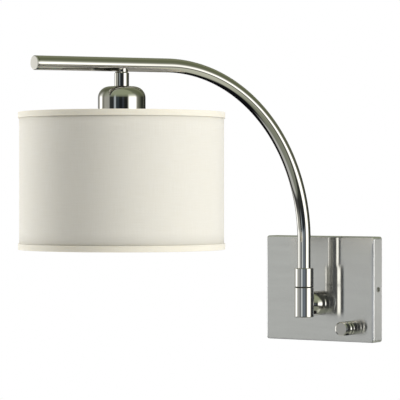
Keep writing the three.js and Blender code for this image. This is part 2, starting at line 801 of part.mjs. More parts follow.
function dimmerBezel() {
  const foot = PLATE_DEPTH + GAP;
  return ring(4.9, KNOB_RADIUS, foot, foot + BEZEL_LENGTH, MEDIUM, 0, 1.2);
}

function dimmerKnob() {
  const foot = PLATE_DEPTH + BEZEL_LENGTH + 2.2 * GAP;
  const bore = SHAFT_RADIUS + GAP;
  const profile = [
    [bore, foot],
    [KNOB_RADIUS - 0.5, foot],
    [KNOB_RADIUS, foot + 0.5],
    [KNOB_RADIUS, KNOB_FRONT - KNOB_CHAMFER],
    [KNOB_RADIUS - KNOB_CHAMFER, KNOB_FRONT],
    [0, KNOB_FRONT],
    [0, KNOB_FRONT - 3],
    [bore, KNOB_FRONT - 3],
    [bore, foot],
  ];
  return turned(profile, MEDIUM);
}

dimmer.add(
  named("dimmer_body", dimmerBody(), blackPhenolic),
  named("dimmer_bushing", ring(SHAFT_RADIUS + GAP, 4.6, DIMMER_FRONT + GAP, 27, COARSE), zincSteel),
  named("dimmer_bezel", dimmerBezel(), polishedNickel),
  named("dimmer_shaft", rod(SHAFT_RADIUS, 8 + GAP, KNOB_FRONT - 3 - GAP, COARSE), zincSteel),
  named("dimmer_knob", dimmerKnob(), polishedNickel),
);

// ---------------------------------------------------------------- leads behind the plate

// A tapered twist-on connector that points up, its mouth at the given place.
function wireNut(x, y, out) {
  const profile = [[0, 0], [5.6, 0], [5.6, 5], [3.4, 19], [2.4, 20], [0, 20]];
  const nut = turned(profile, COARSE);
  nut.rotateX(-Math.PI / 2);
  return nut.translate(x, y, out);
}

// A lead through hand-chosen points, [x, y, out], smoothed into one curve.
function lead(points) {
  const curve = new THREE.CatmullRomCurve3(points.map((point) => new THREE.Vector3(...point)));
  return swept(curve, LEAD_RADIUS, 6, 14);
}

const neutralRoute = [[-2.2, -17, 7.2], [-4, -14, 5.2], [-12, 0, 5.4], [-22, 16, 8], [-26, 30, 9],
  [-26, 37.6, 9]];
const groundRoute = [[-0.4, -20.6, 7.2], [-2, -23, 5.4], [-18, -27, 5.5], [-40, -26, 5.6], [-55, -20, 5.6],
  [-58, -15.5, 4]];
const dimmedRoute = [[2.4, -17.6, 7.2], [5, -19, 5.2], [16, -27, 5.6], [24, -35, 8], [30.9, -40, 9]];
const liveRoute = [[45, -34, 9.5], [44, -27, 8.5], [37, -8, 6], [29, 14, 7], [26, 28, 9], [26, 37.6, 9]];

wall.add(
  named("wire_nut_neutral", wireNut(-WIRE_NUT[0], WIRE_NUT[1], WIRE_NUT[2]), orangeNut),
  named("wire_nut_live", wireNut(...WIRE_NUT), orangeNut),
  named("lead_neutral", lead(neutralRoute), whiteInsulation),
  named("lead_ground", lead(groundRoute), greenInsulation),
  named("lead_dimmed", lead(dimmedRoute), blackInsulation),
  named("lead_live", lead(liveRoute), blackInsulation),
);

// ---------------------------------------------------------------- the lamp

const lamp = new THREE.Group();
lamp.add(wall, post, arm);

export default lamp;
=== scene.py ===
# %% [markdown]
# # A wall lamp on a swinging arm
#
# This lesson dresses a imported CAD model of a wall-mounted reading lamp. The CAD model gives every part
# its true size and place. Here each part gets a smooth surface and the finish of the real material:
# polished nickel on the arm, brushed nickel on the back plate and woven cloth on the shade.
#
# All lengths are written in millimetres and turned to metres in one place. +X is to the right along the
# wall, +Y goes into the wall and +Z is up, and the origin is on the wall behind the middle of the plate.

# %% Load the frame
import json
import math

import bmesh
import bpy
import numpy as np
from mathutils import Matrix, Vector, geometry


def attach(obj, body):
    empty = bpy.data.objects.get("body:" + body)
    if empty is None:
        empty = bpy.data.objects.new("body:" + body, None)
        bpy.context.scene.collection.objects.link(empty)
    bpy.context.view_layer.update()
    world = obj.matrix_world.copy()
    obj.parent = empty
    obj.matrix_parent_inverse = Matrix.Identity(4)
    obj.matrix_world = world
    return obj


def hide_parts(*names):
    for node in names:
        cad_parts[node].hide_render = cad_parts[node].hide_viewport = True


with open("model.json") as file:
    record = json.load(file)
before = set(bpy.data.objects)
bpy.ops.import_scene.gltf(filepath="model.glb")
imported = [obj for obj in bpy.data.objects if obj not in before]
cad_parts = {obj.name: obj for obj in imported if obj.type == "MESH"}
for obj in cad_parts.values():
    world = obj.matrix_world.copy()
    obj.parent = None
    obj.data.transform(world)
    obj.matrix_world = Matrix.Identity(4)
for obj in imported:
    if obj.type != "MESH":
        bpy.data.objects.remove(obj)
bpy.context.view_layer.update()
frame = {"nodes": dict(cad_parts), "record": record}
bodies = frame["record"]["behaviour"]["bodies"]
body_of_node = {node: body for body, nodes in bodies.items() for node in nodes}
print("CAD nodes:", len(body_of_node), "bodies:", sorted(bodies))

# %% [markdown]
# ## Camera
#
# A product picture like this is taken from far away with a long lens, so that upright edges stay upright.
# The camera stands 2.3 m out from the wall and 1.4 m to the right, level with the lamp. It is turned 34
# degrees to the left of straight in, which puts the plate on the right and the shade on the left.

# %% Camera
CAMERA_PLACE = (1.3549, -2.3091, 0.1230)
CAMERA_YAW = math.radians(33.743)
CAMERA_PITCH = -0.0059  # radians, a third of a degree down
LENS_MM, SENSOR_MM = 196.95, 36
looking = Vector((
    -math.sin(CAMERA_YAW) * math.cos(CAMERA_PITCH),
    math.cos(CAMERA_YAW) * math.cos(CAMERA_PITCH),
    math.sin(CAMERA_PITCH),
))
camera = bpy.data.objects.new("camera", bpy.data.cameras.new("camera"))
camera.data.lens = LENS_MM
camera.data.sensor_width = SENSOR_MM
camera.location = CAMERA_PLACE
camera.rotation_euler = looking.to_track_quat("-Z", "Y").to_euler()
bpy.context.scene.collection.objects.link(camera)
bpy.context.scene.camera = camera
bpy.context.scene.view_settings.view_transform = "Standard"
print("camera looks along", tuple(round(x, 3) for x in looking))

# %% [markdown]
# ## Places
#
# Every part is drawn in a simple frame of its own and then placed. A place is an origin and three
# directions: where local x, y and z point in the room. Parts on the wall have z pointing out of the wall,
# and parts on the arm have x pointing out along the arm.

# %% Places
MM = 0.001
SWIVEL_OUT = 56
ARM_TURN = math.radians(18.1)
STEM_REACH = 270.6
ARM_OUT = np.array([-math.sin(ARM_TURN), -math.cos(ARM_TURN), 0.0])
ARM_SIDE = np.array([math.cos(ARM_TURN), -math.sin(ARM_TURN), 0.0])
UP = np.array([0.0, 0.0, 1.0])
LOCAL_Y = np.array([0.0, 1.0, 0.0])


def place(origin, x_way, z_way):
    """An origin and the room directions of local x, y and z, where y is z cross x."""
    x_way, z_way = np.array(x_way, float), np.array(z_way, float)
    return np.array(origin, float), np.stack([x_way, np.cross(z_way, x_way), z_way])


def on_wall(x, z):
    """A place on the wall: local x is X, local y is Z and local z is the distance out."""
    return place((x, 0, z), (1, 0, 0), (0, -1, 0))


POST = place((0, -SWIVEL_OUT, 0), (1, 0, 0), UP)
ARM = place((0, -SWIVEL_OUT, 0), ARM_OUT, UP)
HOLDER = place(ARM[0] + STEM_REACH * ARM_OUT, ARM_OUT, UP)
print("lamp holder stands at", HOLDER[0].round(2))

# %% [markdown]
# ## From formulas to meshes
#
# A surface is worked out as a grid of points, and neighbouring points are joined into four-sided faces.
# Such a grid is called a patch. A flat face with holes in it is a patch too, filled with triangles. A piece
# is one or more patches whose edges lie on each other.

# %% Patches
def grid_patch(grid, rows_closed=False, columns_closed=True, uv=None):
    """Joins point (i, j) to (i, j+1), (i+1, j+1) and (i+1, j). A closed direction joins its end to its
    start. uv has one more row or column than the grid where that direction is closed."""
    rows, columns = grid.shape[:2]
    i = np.arange(rows if rows_closed else rows - 1)[:, None]
    j = np.arange(columns if columns_closed else columns - 1)[None, :]
    corners = [(i, j), (i, j + 1), (i + 1, j + 1), (i + 1, j)]
    faces = np.stack([(a % rows) * columns + b % columns for a, b in corners], -1).reshape(-1, 4)
    corner_uv = None
    if uv is not None:
        corner_uv = np.stack([uv[a + 0 * b, b + 0 * a] for a, b in corners], 2).reshape(-1, 2)
    return grid.reshape(-1, 3), faces, corner_uv


def inside(points, outline):
    """Which points lie inside an outline: a line to the right crosses its edges an odd number of times."""
    start, end = outline, np.roll(outline, -1, 0)
    x, y = points[:, None, 0], points[:, None, 1]
    spans = (start[:, 1] > y) != (end[:, 1] > y)
    rise = np.where(end[:, 1] == start[:, 1], 1, end[:, 1] - start[:, 1])
    crossing = start[:, 0] + (y - start[:, 1]) * (end[:, 0] - start[:, 0]) / rise
    return (spans & (x < crossing)).sum(1) % 2 == 1


def flat_patch(outline, holes, height):
    """Fills a flat outline with triangles and leaves the holes open, at one height."""
    loops = [outline, *holes]
    points = np.concatenate(loops)
    starts = np.cumsum([0] + [len(loop) for loop in loops])
    edges = [
        (int(low + k), int(low + (k + 1) % (high - low)))
        for low, high in zip(starts, starts[1:])
        for k in range(high - low)
    ]
    found = geometry.delaunay_2d_cdt([Vector(p) for p in points], edges, [], 1, 1e-6)
    flat = np.array(found[0])
    triangles = np.array(found[2])
    middle = flat[triangles].mean(1)
    keep = np.ones(len(triangles), bool)
    for hole in holes:
        keep &= ~inside(middle, hole)
    placed = np.column_stack([flat, np.full(len(flat), height)])
    return placed, triangles[keep], flat[triangles[keep]].reshape(-1, 2) * MM


# %% [markdown]
# One function makes every piece. It puts the patches in place, closes the seams, gives the mesh its finish
# and says which CAD part it stands for and which body it rides on. Faces that meet at less than the smooth
# angle are shaded as one surface, and sharper edges stay sharp.

# %% From patches to a piece
MERGE_DISTANCE = 1e-6  # metres: closer points are one point
FLAT_DISTANCE = 1e-7  # metres: a face thinner than this is dropped


def close_and_turn(mesh):
    """Merges points that lie on each other, drops faces with no area and turns the rest outwards."""
    work = bmesh.new()
    work.from_mesh(mesh)
    bmesh.ops.remove_doubles(work, verts=work.verts, dist=MERGE_DISTANCE)
    bmesh.ops.dissolve_degenerate(work, edges=work.edges, dist=FLAT_DISTANCE)
    bmesh.ops.recalc_face_normals(work, faces=work.faces)
    work.to_mesh(mesh)
    work.free()


def make(cad_name, patches, at, material, smooth=40):
    """Turns patches into one mesh object that stands for a CAD node and rides on that node's body."""
    origin, ways = at
    points = np.concatenate([patch[0] for patch in patches])
    points = (origin + points @ ways) * MM
    starts = np.cumsum([0] + [len(patch[0]) for patch in patches])
    faces = [row for patch, start in zip(patches, starts) for row in (patch[1] + start).tolist()]
    name = "finished_" + cad_name
    mesh = bpy.data.meshes.new(name)
    mesh.from_pydata(points.tolist(), [], faces)
    if all(patch[2] is not None for patch in patches):
        layer = mesh.uv_layers.new(name="laid_flat")
        layer.data.foreach_set("uv", np.concatenate([patch[2] for patch in patches]).ravel())
    close_and_turn(mesh)
    mesh.shade_smooth()
    mesh.set_sharp_from_angle(angle=math.radians(smooth))
    mesh.materials.append(material)
    made = bpy.data.objects.new(name, mesh)
    bpy.context.scene.collection.objects.link(made)
    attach(made, body_of_node[cad_name])
    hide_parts(cad_name)
    print(name, "on", body_of_node[cad_name], "faces:", len(mesh.polygons))
    return made


# %% [markdown]
# ## Turned shapes, rounded edges and threads
#
# Most parts of a lamp are turned on a lathe. Their surface is a profile of radius and height carried round
# an axis. No machined edge is perfectly sharp, and the thin bright line that a rounded edge catches is what
# makes metal look real, so every profile corner gets a small radius.

# %% Profiles
def rounded(corners, closed=True, steps=5):
    """A profile with its corners rounded. Each corner is (radius, height, fillet). The arc touches both
    sides: its centre lies on the corner's bisector, fillet / sin(half the corner angle) away. One point
    just outside each end of the arc keeps the flat stretches flat under smooth shading."""
    corners = np.array(corners, float)
    spot, fillet = corners[:, :2], corners[:, 2:3].copy()
    back = np.roll(spot, 1, 0) - spot
    ahead = np.roll(spot, -1, 0) - spot
    if not closed:
        fillet[[0, -1]] = 0
        back[0], ahead[-1] = -ahead[0], -back[-1]
    back /= np.linalg.norm(back, axis=1, keepdims=True)
    ahead /= np.linalg.norm(ahead, axis=1, keepdims=True)
    half = np.arccos(np.clip((back * ahead).sum(1, keepdims=True), -1, 1)) / 2
    half = np.clip(half, 0.05, math.pi / 2 - 1e-3)
    bisector = back + ahead
    size = np.linalg.norm(bisector, axis=1, keepdims=True)
    bisector = np.where(size > 1e-6, bisector / np.maximum(size, 1e-6), 0)
    centre = spot + bisector * fillet / np.sin(half)
    reach = fillet / np.tan(half)
    first, last = spot + back * reach - centre, spot + ahead * reach - centre
    sweep = math.pi - 2 * half
    share = np.linspace(0, 1, steps + 1)[None, :, None]
    weights = [np.sin((1 - share) * sweep[:, :, None]), np.sin(share * sweep[:, :, None])]
    arc = (first[:, None] * weights[0] + last[:, None] * weights[1]) / np.sin(sweep)[:, :, None]
    guard = reach + 0.3 * fillet
    before, after = spot + back * guard, spot + ahead * guard
    whole = np.concatenate([before[:, None], centre[:, None] + arc, after[:, None]], 1)
    return whole.reshape(-1, 2)


def turned(profile, sides=96, closed=True, shape=None):
    """Point (i, j) is (r cos a, r sin a, h), with (r, h) the profile's point i and a the angle of column j.
    shape, if given, multiplies every radius: an array with a row for each profile point."""
    angle = np.linspace(0, 2 * math.pi, sides, endpoint=False)
    radius = np.repeat(profile[:, :1], sides, 1)
    if shape is not None:
        radius = radius * shape
    height = np.repeat(profile[:, 1:2], sides, 1)
    grid = np.stack([radius * np.cos(angle), radius * np.sin(angle), height], -1)
    return grid_patch(grid, rows_closed=closed)


def ring_profile(inner, outer, low, high, edge=0.3, inner_edge=0.1):
    """The section of a plain ring with rounded edges."""
    return rounded([
        (inner, low, inner_edge), (outer, low, edge), (outer, high, edge), (inner, high, inner_edge),
    ])


# %% [markdown]
# A thread is a ridge that climbs one pitch in each turn. At angle a and height h the depth below the crest
# depends only on h / pitch - a / one turn, so the ridge winds round by itself. A pipe thread is a sharp
# zigzag, and the thread of a lamp base, rolled in thin sheet, is a soft wave.

# %% Threads and hexagons
def thread_depth(angle, height, pitch, depth, soft=False):
    """How far the surface lies below the thread's crest: a zigzag, or a cosine wave where soft."""
    turns = height / pitch - angle / (2 * math.pi)
    if soft:
        return depth * (1 - np.cos(2 * math.pi * turns)) / 2
    return depth * 2 * np.abs(turns - np.floor(turns + 0.5))


def threaded(outer, depth, pitch, low, high, inner=0.0, sides=40, per_turn=6, soft=False):
    """A threaded rod, or a tube when inner is above 0. The ends taper to the thread's root."""
    angle = np.linspace(0, 2 * math.pi, sides, endpoint=False)[None, :]
    count = int((high - low) / pitch * per_turn)
    height = np.linspace(low, high, count)[:, None]
    fade = np.clip(np.minimum(height - low, high - height) / (0.5 * pitch), 0, 1)
    radius = outer - depth + (depth - thread_depth(angle, height, pitch, depth, soft)) * fade
    radius = np.concatenate([np.full((1, sides), inner), radius, np.full((1, sides), inner)])
    height = np.concatenate([height[:1], height, height[-1:]]) + 0 * angle
    grid = np.stack([radius * np.cos(angle), radius * np.sin(angle), height], -1)
    return grid_patch(grid, rows_closed=inner > 0)


def hexagon(sides):
    """How much further out a hexagon's edge is than its flats, for each column: 1 / cos of the angle from
    the nearest flat's middle."""
    angle = np.linspace(0, 2 * math.pi, sides, endpoint=False)
    from_flat = (angle + math.pi / 6) % (math.pi / 3) - math.pi / 6
    return 1 / np.cos(from_flat)


def hex_nut(across_flats, low, high, bore, sides=96):
    """A nut: the smaller of a hexagon and a cone that rises 30 degrees from each face, round a bore."""
    flat = across_flats / 2
    step = np.array([0, 0.05, 0.12, 0.2, 0.3, 0.45, 0.65]) * flat * 0.6
    height = np.concatenate([low + step, high - step[::-1]])
    limit = flat * 0.97 + np.concatenate([step, step[::-1]]) * math.tan(math.radians(60))
    outer = np.minimum(flat * hexagon(sides)[None, :], limit[:, None])
    radius = np.concatenate([np.full((1, sides), bore), outer, np.full((1, sides), bore)])
    profile = np.column_stack([np.ones(len(radius)), np.concatenate([[low], height, [high]])])
    return turned(profile, sides, shape=radius)


def socket_screw(head, low, high, shank, foot, socket, sides=48):
    """A machine screw along +z: a shank, a low round head and a hexagon socket in its face."""
    corners = [
        (0, foot, 0), (shank, foot, 0.3), (shank, low, 0.05), (head, low, 0.1), (head, high, 0.5),
        (socket * 1.25, high, 0.1), (socket * 1.02, high - 0.15, 0), (socket, high - 0.2, 0),
        (socket, high - 1.0, 0), (0, high - 1.0, 0),
    ]
    profile = rounded(corners, closed=False, steps=3)
    hexed = (profile[:, 0] <= socket * 1.03) & (profile[:, 1] > high - 1.1)
    shape = np.where(hexed[:, None], hexagon(sides)[None, :], 1.0)
    return turned(profile, sides, closed=False, shape=shape)


# %% [markdown]
# ## Colours and nodes
#
# Hex colours are in sRGB, the way that a screen shows them, but a shader adds and multiplies light, so it
# needs linear values. One function turns one into the other. Another adds a node, sets its properties and
# fills its inputs with numbers or links, which keeps a whole material readable as a few lines. A Mix node
# has sockets for each kind of value, so those for colours are known by number and get names here.

# %% Colour and node helpers
COLOUR_A, COLOUR_B, MIXED = 6, 7, 2


def linear(code):
    """An sRGB hex colour as linear red, green, blue and alpha: c / 12.92 where c is small, and otherwise
    ((c + 0.055) / 1.055) to the power of 2.4."""
    srgb = np.array([int(code[k:k + 2], 16) / 255 for k in (1, 3, 5)])
    line = np.where(srgb <= 0.04045, srgb / 12.92, ((srgb + 0.055) / 1.055) ** 2.4)
    return (*line.tolist(), 1.0)


def node(tree, kind, inputs=None, **settings):
    """Adds a node. settings are its properties, and inputs gives sockets a value or a link."""
    made = tree.nodes.new("ShaderNode" + kind)
    for key, value in settings.items():
        setattr(made, key, value)
    for socket, value in (inputs or {}).items():
        if isinstance(value, bpy.types.NodeSocket):
            tree.links.new(value, made.inputs[socket])
        else:
            made.inputs[socket].default_value = value
    return made


def begin_material(name, **constants):
    """A new material, its node tree and its shader, with the shader's own sockets set."""
    material = bpy.data.materials.new(name)
    material.use_nodes = True
    tree = material.node_tree
    shader = tree.nodes["Principled BSDF"]
    for socket, value in constants.items():
        shader.inputs[socket.replace("_", " ")].default_value = value
    return material, tree, shader


# %% [markdown]
# ## Finishes
#
# Each finish says what the material is and how its surface was made. Most share one recipe: the colour
# drifts between two close tones over patches of a few millimetres, the roughness follows smaller patches,
# as handling and cleaning leave them, and a fine grain lifts the surface a little. Noise of scale 1000 has
# one blot to the millimetre, because Object coordinates are in metres.

# %% The common recipe
def finish(name, tones, patch, roughness, grain, lift, stretch=(1, 1, 1), **constants):
    """Colour: a mix of two tones by smooth noise of patch mm. Roughness: from low to high by noise a third
    as large. Bump: noise of grain mm, lifted by lift mm. stretch squeezes all of it along an axis."""
    material, tree, shader = begin_material(name, **constants)
    where = node(tree, "TexCoord")
    along = node(tree, "Mapping", {"Vector": where.outputs["Object"], "Scale": stretch})
    drift = node(tree, "TexNoise", {
        "Vector": along.outputs[0], "Scale": 1000 / patch, "Detail": 3.0, "Roughness": 0.55})
    colour = node(tree, "Mix", {
        "Factor": drift.outputs[0], COLOUR_A: linear(tones[0]), COLOUR_B: linear(tones[1])}, data_type="RGBA")
    handling = node(tree, "TexNoise", {
        "Vector": along.outputs[0], "Scale": 3000 / patch, "Detail": 4.0, "Roughness": 0.6})
    polish = node(tree, "MapRange", {
        "Value": handling.outputs[0], "From Min": 0.3, "From Max": 0.7,
        "To Min": roughness[0], "To Max": roughness[1]})
    fine = node(tree, "TexNoise", {
        "Vector": along.outputs[0], "Scale": 1000 / grain, "Detail": 2.0, "Roughness": 0.5})
    bump = node(tree, "Bump", {
        "Height": fine.outputs[0], "Distance": lift * MM, "Strength": 1.0})
    tree.links.new(colour.outputs[MIXED], shader.inputs["Base Color"])
    tree.links.new(polish.outputs[0], shader.inputs["Roughness"])
    tree.links.new(bump.outputs[0], shader.inputs["Normal"])
    return material


# %% [markdown]
# Polished nickel is plated brass that was buffed to a mirror. It is slightly warmer and darker than chrome.
# Buffing leaves a soft haze in places, and the bump is kept to a fraction of a micron so that reflections
# stay crisp with barely rippled edges.

# %% Metals
polished_nickel = finish(
    "polished nickel plate", ("#D6D4CE", "#CBC9C1"), 30, (0.02, 0.045), 9, 0.0006, Metallic=1.0)
# Zinc plate over steel: a dull grey with cloudy patches from the passivating bath.
zinc_steel = finish(
    "zinc plated steel", ("#A5A8AB", "#8E9194"), 4, (0.3, 0.48), 0.5, 0.004, Metallic=1.0)
# Nickel plate left satin, on small screws.
satin_nickel = finish(
    "satin nickel plate", ("#D2D1CC", "#C4C3BE"), 3, (0.26, 0.36), 0.5, 0.003, Metallic=1.0)
# Brass straight from the thread roller: warm, a little tarnished in the hollows.
brass = finish("turned brass", ("#C9A55A", "#B08C46"), 5, (0.2, 0.36), 0.4, 0.003, Metallic=1.0)
# Aluminium of a bulb's base, rolled thin: bright, slightly scratched round.
bulb_metal = finish(
    "rolled aluminium", ("#C4C6C8", "#B2B4B6"), 6, (0.22, 0.36), 0.4, 0.004, (1, 1, 4), Metallic=1.0)
# A steel screw dyed green, the colour code for earth.
green_screw = finish("green dyed steel", ("#3C8A55", "#2A6B41"), 2, (0.28, 0.42), 0.4, 0.003, Metallic=0.7)

# %% [markdown]
# Plastics, glaze and enamel are not metals: their colour lies under a clear skin that reflects about 4% of
# the light straight on. Moulded phenolic and nylon are slightly mottled, glazed porcelain has a thick glossy
# coat, and wire insulation has faint lines along it from the extruder.

# %% Plastics, porcelain and enamel
black_phenolic = finish("moulded phenolic", ("#201F1E", "#2A2826"), 5, (0.34, 0.5), 0.5, 0.006)
nylon = finish("moulded nylon", ("#2C2C2B", "#363534"), 4, (0.45, 0.6), 0.4, 0.005)
porcelain = finish(
    "glazed porcelain", ("#F0EEE7", "#E6E2D8"), 8, (0.3, 0.4), 3, 0.01, Coat_Weight=0.8, Coat_Roughness=0.06)
white_enamel = finish("white powder coat", ("#E9E9E5", "#DFDFDA"), 7, (0.3, 0.42), 0.8, 0.012)
frosted_glass = finish(
    "frosted glass", ("#F8F7F3", "#F0EEE8"), 20, (0.32, 0.42), 0.5, 0.002,
    Subsurface_Weight=0.4, Subsurface_Scale=0.004)
orange_plastic = finish("orange moulded plastic", ("#D8762A", "#C9681F"), 4, (0.38, 0.5), 0.4, 0.005)
black_insulation = finish("black wire insulation", ("#1A1A1C", "#242426"), 3, (0.4, 0.52), 0.6, 0.006)
white_insulation = finish("white wire insulation", ("#E8E6DF", "#DAD7CE"), 3, (0.4, 0.52), 0.6, 0.006)
green_insulation = finish("green wire insulation", ("#2E7D40", "#256A35"), 3, (0.4, 0.52), 0.6, 0.006)
shade_liner = finish(
    "white styrene liner", ("#F6F4EF", "#EFECE4"), 25, (0.4, 0.5), 1.5, 0.004,
    Subsurface_Weight=0.7, Subsurface_Radius=(1.0, 0.97, 0.9), Subsurface_Scale=0.002)

# %% [markdown]
# Brushed nickel is drawn across an abrasive belt, here from side to side. The belt leaves fine parallel
# scratches that scatter light across their length: reflections stay sharp from side to side and are smeared
# up and down. The shader's anisotropy does that smearing. Its tangent must run along the smear, so the
# plate carries a UV map whose U runs up the plate, as the sheet lay before it was pressed. The scratches
# themselves are 0.05 mm apart, too fine to show, so streaks about 0.5 mm apart and 40 mm long stand for them.
# The belt cannot reach the pressed walls. They are brushed by hand afterwards, which leaves them rougher, so
# the roughness grows where the surface turns away from the front. A clear lacquer guards the brushing and
# hazes it a little, so the finish is not quite fully metallic.

# %% Brushed nickel
brushed_nickel, tree, shader = begin_material("brushed nickel plate", Metallic=0.93, Anisotropic=1.0)
flat_map = node(tree, "UVMap", uv_map="laid_flat")
streak_way = node(tree, "Mapping", {"Vector": flat_map.outputs[0], "Scale": (2000, 25, 1)})
streaks = node(tree, "TexNoise", {
    "Vector": streak_way.outputs[0], "Scale": 1.0, "Detail": 4.0, "Roughness": 0.7})
drift_way = node(tree, "Mapping", {"Vector": flat_map.outputs[0], "Scale": (90, 12, 1)})
drift = node(tree, "TexNoise", {"Vector": drift_way.outputs[0], "Scale": 1.0, "Detail": 2.0})
both = node(tree, "Math", {0: streaks.outputs[0], 1: drift.outputs[0]}, operation="ADD")
tone = node(tree, "MapRange", {"Value": both.outputs[0], "From Min": 0.6, "From Max": 1.4})
colour = node(tree, "Mix", {
    "Factor": tone.outputs[0], COLOUR_A: linear("#E5E5E3"), COLOUR_B: linear("#F0F0EE")}, data_type="RGBA")
belt_gloss = node(tree, "MapRange", {
    "Value": streaks.outputs[0], "From Min": 0.3, "From Max": 0.7, "To Min": 0.11, "To Max": 0.15})
surface = node(tree, "NewGeometry")
facing = node(tree, "SeparateXYZ", {"Vector": surface.outputs["Normal"]})
frontness = node(tree, "Math", {0: facing.outputs[1]}, operation="ABSOLUTE")
hand_gloss = node(tree, "MapRange", {
    "Value": frontness.outputs[0], "From Min": 0.1, "From Max": 0.6, "To Min": 0.2, "To Max": 0.0})
gloss = node(tree, "Math", {0: belt_gloss.outputs[0], 1: hand_gloss.outputs[0]}, operation="ADD")
bump = node(tree, "Bump", {"Height": streaks.outputs[0], "Distance": 0.003 * MM, "Strength": 1.0})
grain_way = node(tree, "Tangent", direction_type="UV_MAP", uv_map="laid_flat")
tree.links.new(colour.outputs[MIXED], shader.inputs["Base Color"])
tree.links.new(gloss.outputs[0], shader.inputs["Roughness"])
tree.links.new(bump.outputs[0], shader.inputs["Normal"])
tree.links.new(grain_way.outputs[0], shader.inputs["Tangent"])

# %% [markdown]
# Shade cloth is an off-white linen blend, woven with about 25 threads to the centimetre and glued to the
# styrene. The UV map counts metres along the cloth, so thread spacing is a real size. The true spacing of
# 0.4 mm is too fine to show, so threads are drawn 0.9 mm apart. Slubs, the thicker stretches of a linen
# yarn, are long thin blots along either thread.

# %% Cloth
SLUB_LONG, SLUB_THICK = 22, 0.9  # mm along and across the thread


def cloth(name, tones, thread, lift, slub):
    """Plain weave: warp and weft are cosine ridges at right angles, and a checker of the two lifts every
    other crossing. Slubs are noise stretched 25 to 1 along each thread, lightening or darkening it."""
    material, tree, shader = begin_material(
        name, Roughness=0.85, Sheen_Weight=0.15, Sheen_Roughness=0.5, Subsurface_Weight=0.6,
        Subsurface_Radius=(1.0, 0.95, 0.85), Subsurface_Scale=0.0012)
    flat_map = node(tree, "UVMap", uv_map="laid_flat")
    axes = node(tree, "SeparateXYZ", {"Vector": flat_map.outputs[0]})
    turn = math.pi / (thread * MM)
    ridges = []
    for axis in (0, 1):
        phase = node(tree, "Math", {0: axes.outputs[axis], 1: turn}, operation="MULTIPLY")
        ridges.append(node(tree, "Math", {0: phase.outputs[0]}, operation="SINE"))
    crossing = node(tree, "Math", {0: ridges[0].outputs[0], 1: ridges[1].outputs[0]}, operation="MULTIPLY")
    blots = []
    for scale in ((1000 / SLUB_LONG, 1000 / SLUB_THICK, 1), (1000 / SLUB_THICK, 1000 / SLUB_LONG, 1)):
        way = node(tree, "Mapping", {"Vector": flat_map.outputs[0], "Scale": scale})
        blots.append(node(tree, "TexNoise", {"Vector": way.outputs[0], "Scale": 1.0, "Detail": 2.0}))
    slubs = node(tree, "Math", {0: blots[0].outputs[0], 1: blots[1].outputs[0]}, operation="ADD")
    tone = node(tree, "MapRange", {
        "Value": slubs.outputs[0], "From Min": 1 - slub, "From Max": 1 + slub})
    colour = node(tree, "Mix", {
        "Factor": tone.outputs[0], COLOUR_A: linear(tones[0]), COLOUR_B: linear(tones[1])}, data_type="RGBA")
    weave = node(tree, "Math", {0: crossing.outputs[0], 1: slubs.outputs[0]}, operation="ADD")
    bump = node(tree, "Bump", {"Height": weave.outputs[0], "Distance": lift * MM, "Strength": 1.0})
    tree.links.new(colour.outputs[MIXED], shader.inputs["Base Color"])
    tree.links.new(bump.outputs[0], shader.inputs["Normal"])
    return material


shade_cloth = cloth("off-white linen", ("#F0E9D7", "#F6F0E0"), 0.9, 0.02, 0.45)
shade_tape = cloth("off-white twill tape", ("#F1EAD8", "#F7F1E1"), 0.7, 0.02, 0.5)
print("finishes:", len(bpy.data.materials))

# %% [markdown]
# ## The back plate
#
# The plate is a shallow pan pressed from 1.6 mm brass: a flat face, rounded front edges and straight walls
# that reach back to the wall. It could be a bevelled cube with its back removed. Here it is worked out as a
# rounded rectangle carried along a profile, each step of which says how far in from the outline and how far
# out from the wall it is. That gives true wall thickness, clean edges and a UV map of the flat sheet at once.

# %% Pressed shapes
TIGHTEST = 0.02  # mm: no corner is drawn sharper


def rectangle(width, height, corner, per_corner=6):
    """The outline of a rounded rectangle: for each point the centre of its corner arc, and which way the
    point lies from there."""
    turn = np.linspace(0, math.pi / 2, per_corner + 1)
    angle = (np.arange(4)[:, None] * math.pi / 2 + turn[None, :]).ravel()
    way = np.column_stack([np.cos(angle), np.sin(angle)])
    sign = np.repeat(np.array([[1, 1], [-1, 1], [-1, -1], [1, -1]]), per_corner + 1, 0)
    middle = sign * (np.array([width, height]) / 2 - corner)
    return middle, way


def circle(x, y, radius, sides=48):
    """The outline of a round hole."""
    angle = np.linspace(0, 2 * math.pi, sides, endpoint=False)
    return np.column_stack([x + radius * np.cos(angle), y + radius * np.sin(angle)])


def slot_outline(x, y, width, height, sides=12):
    """The outline of an upright slot with round ends."""
    upper = np.linspace(0, math.pi, sides + 1)
    arc = np.column_stack([np.cos(upper), np.sin(upper)]) * width / 2
    rise = np.array([0, (height - width) / 2])
    return np.concatenate([arc + rise, -arc - rise]) + np.array([x, y])


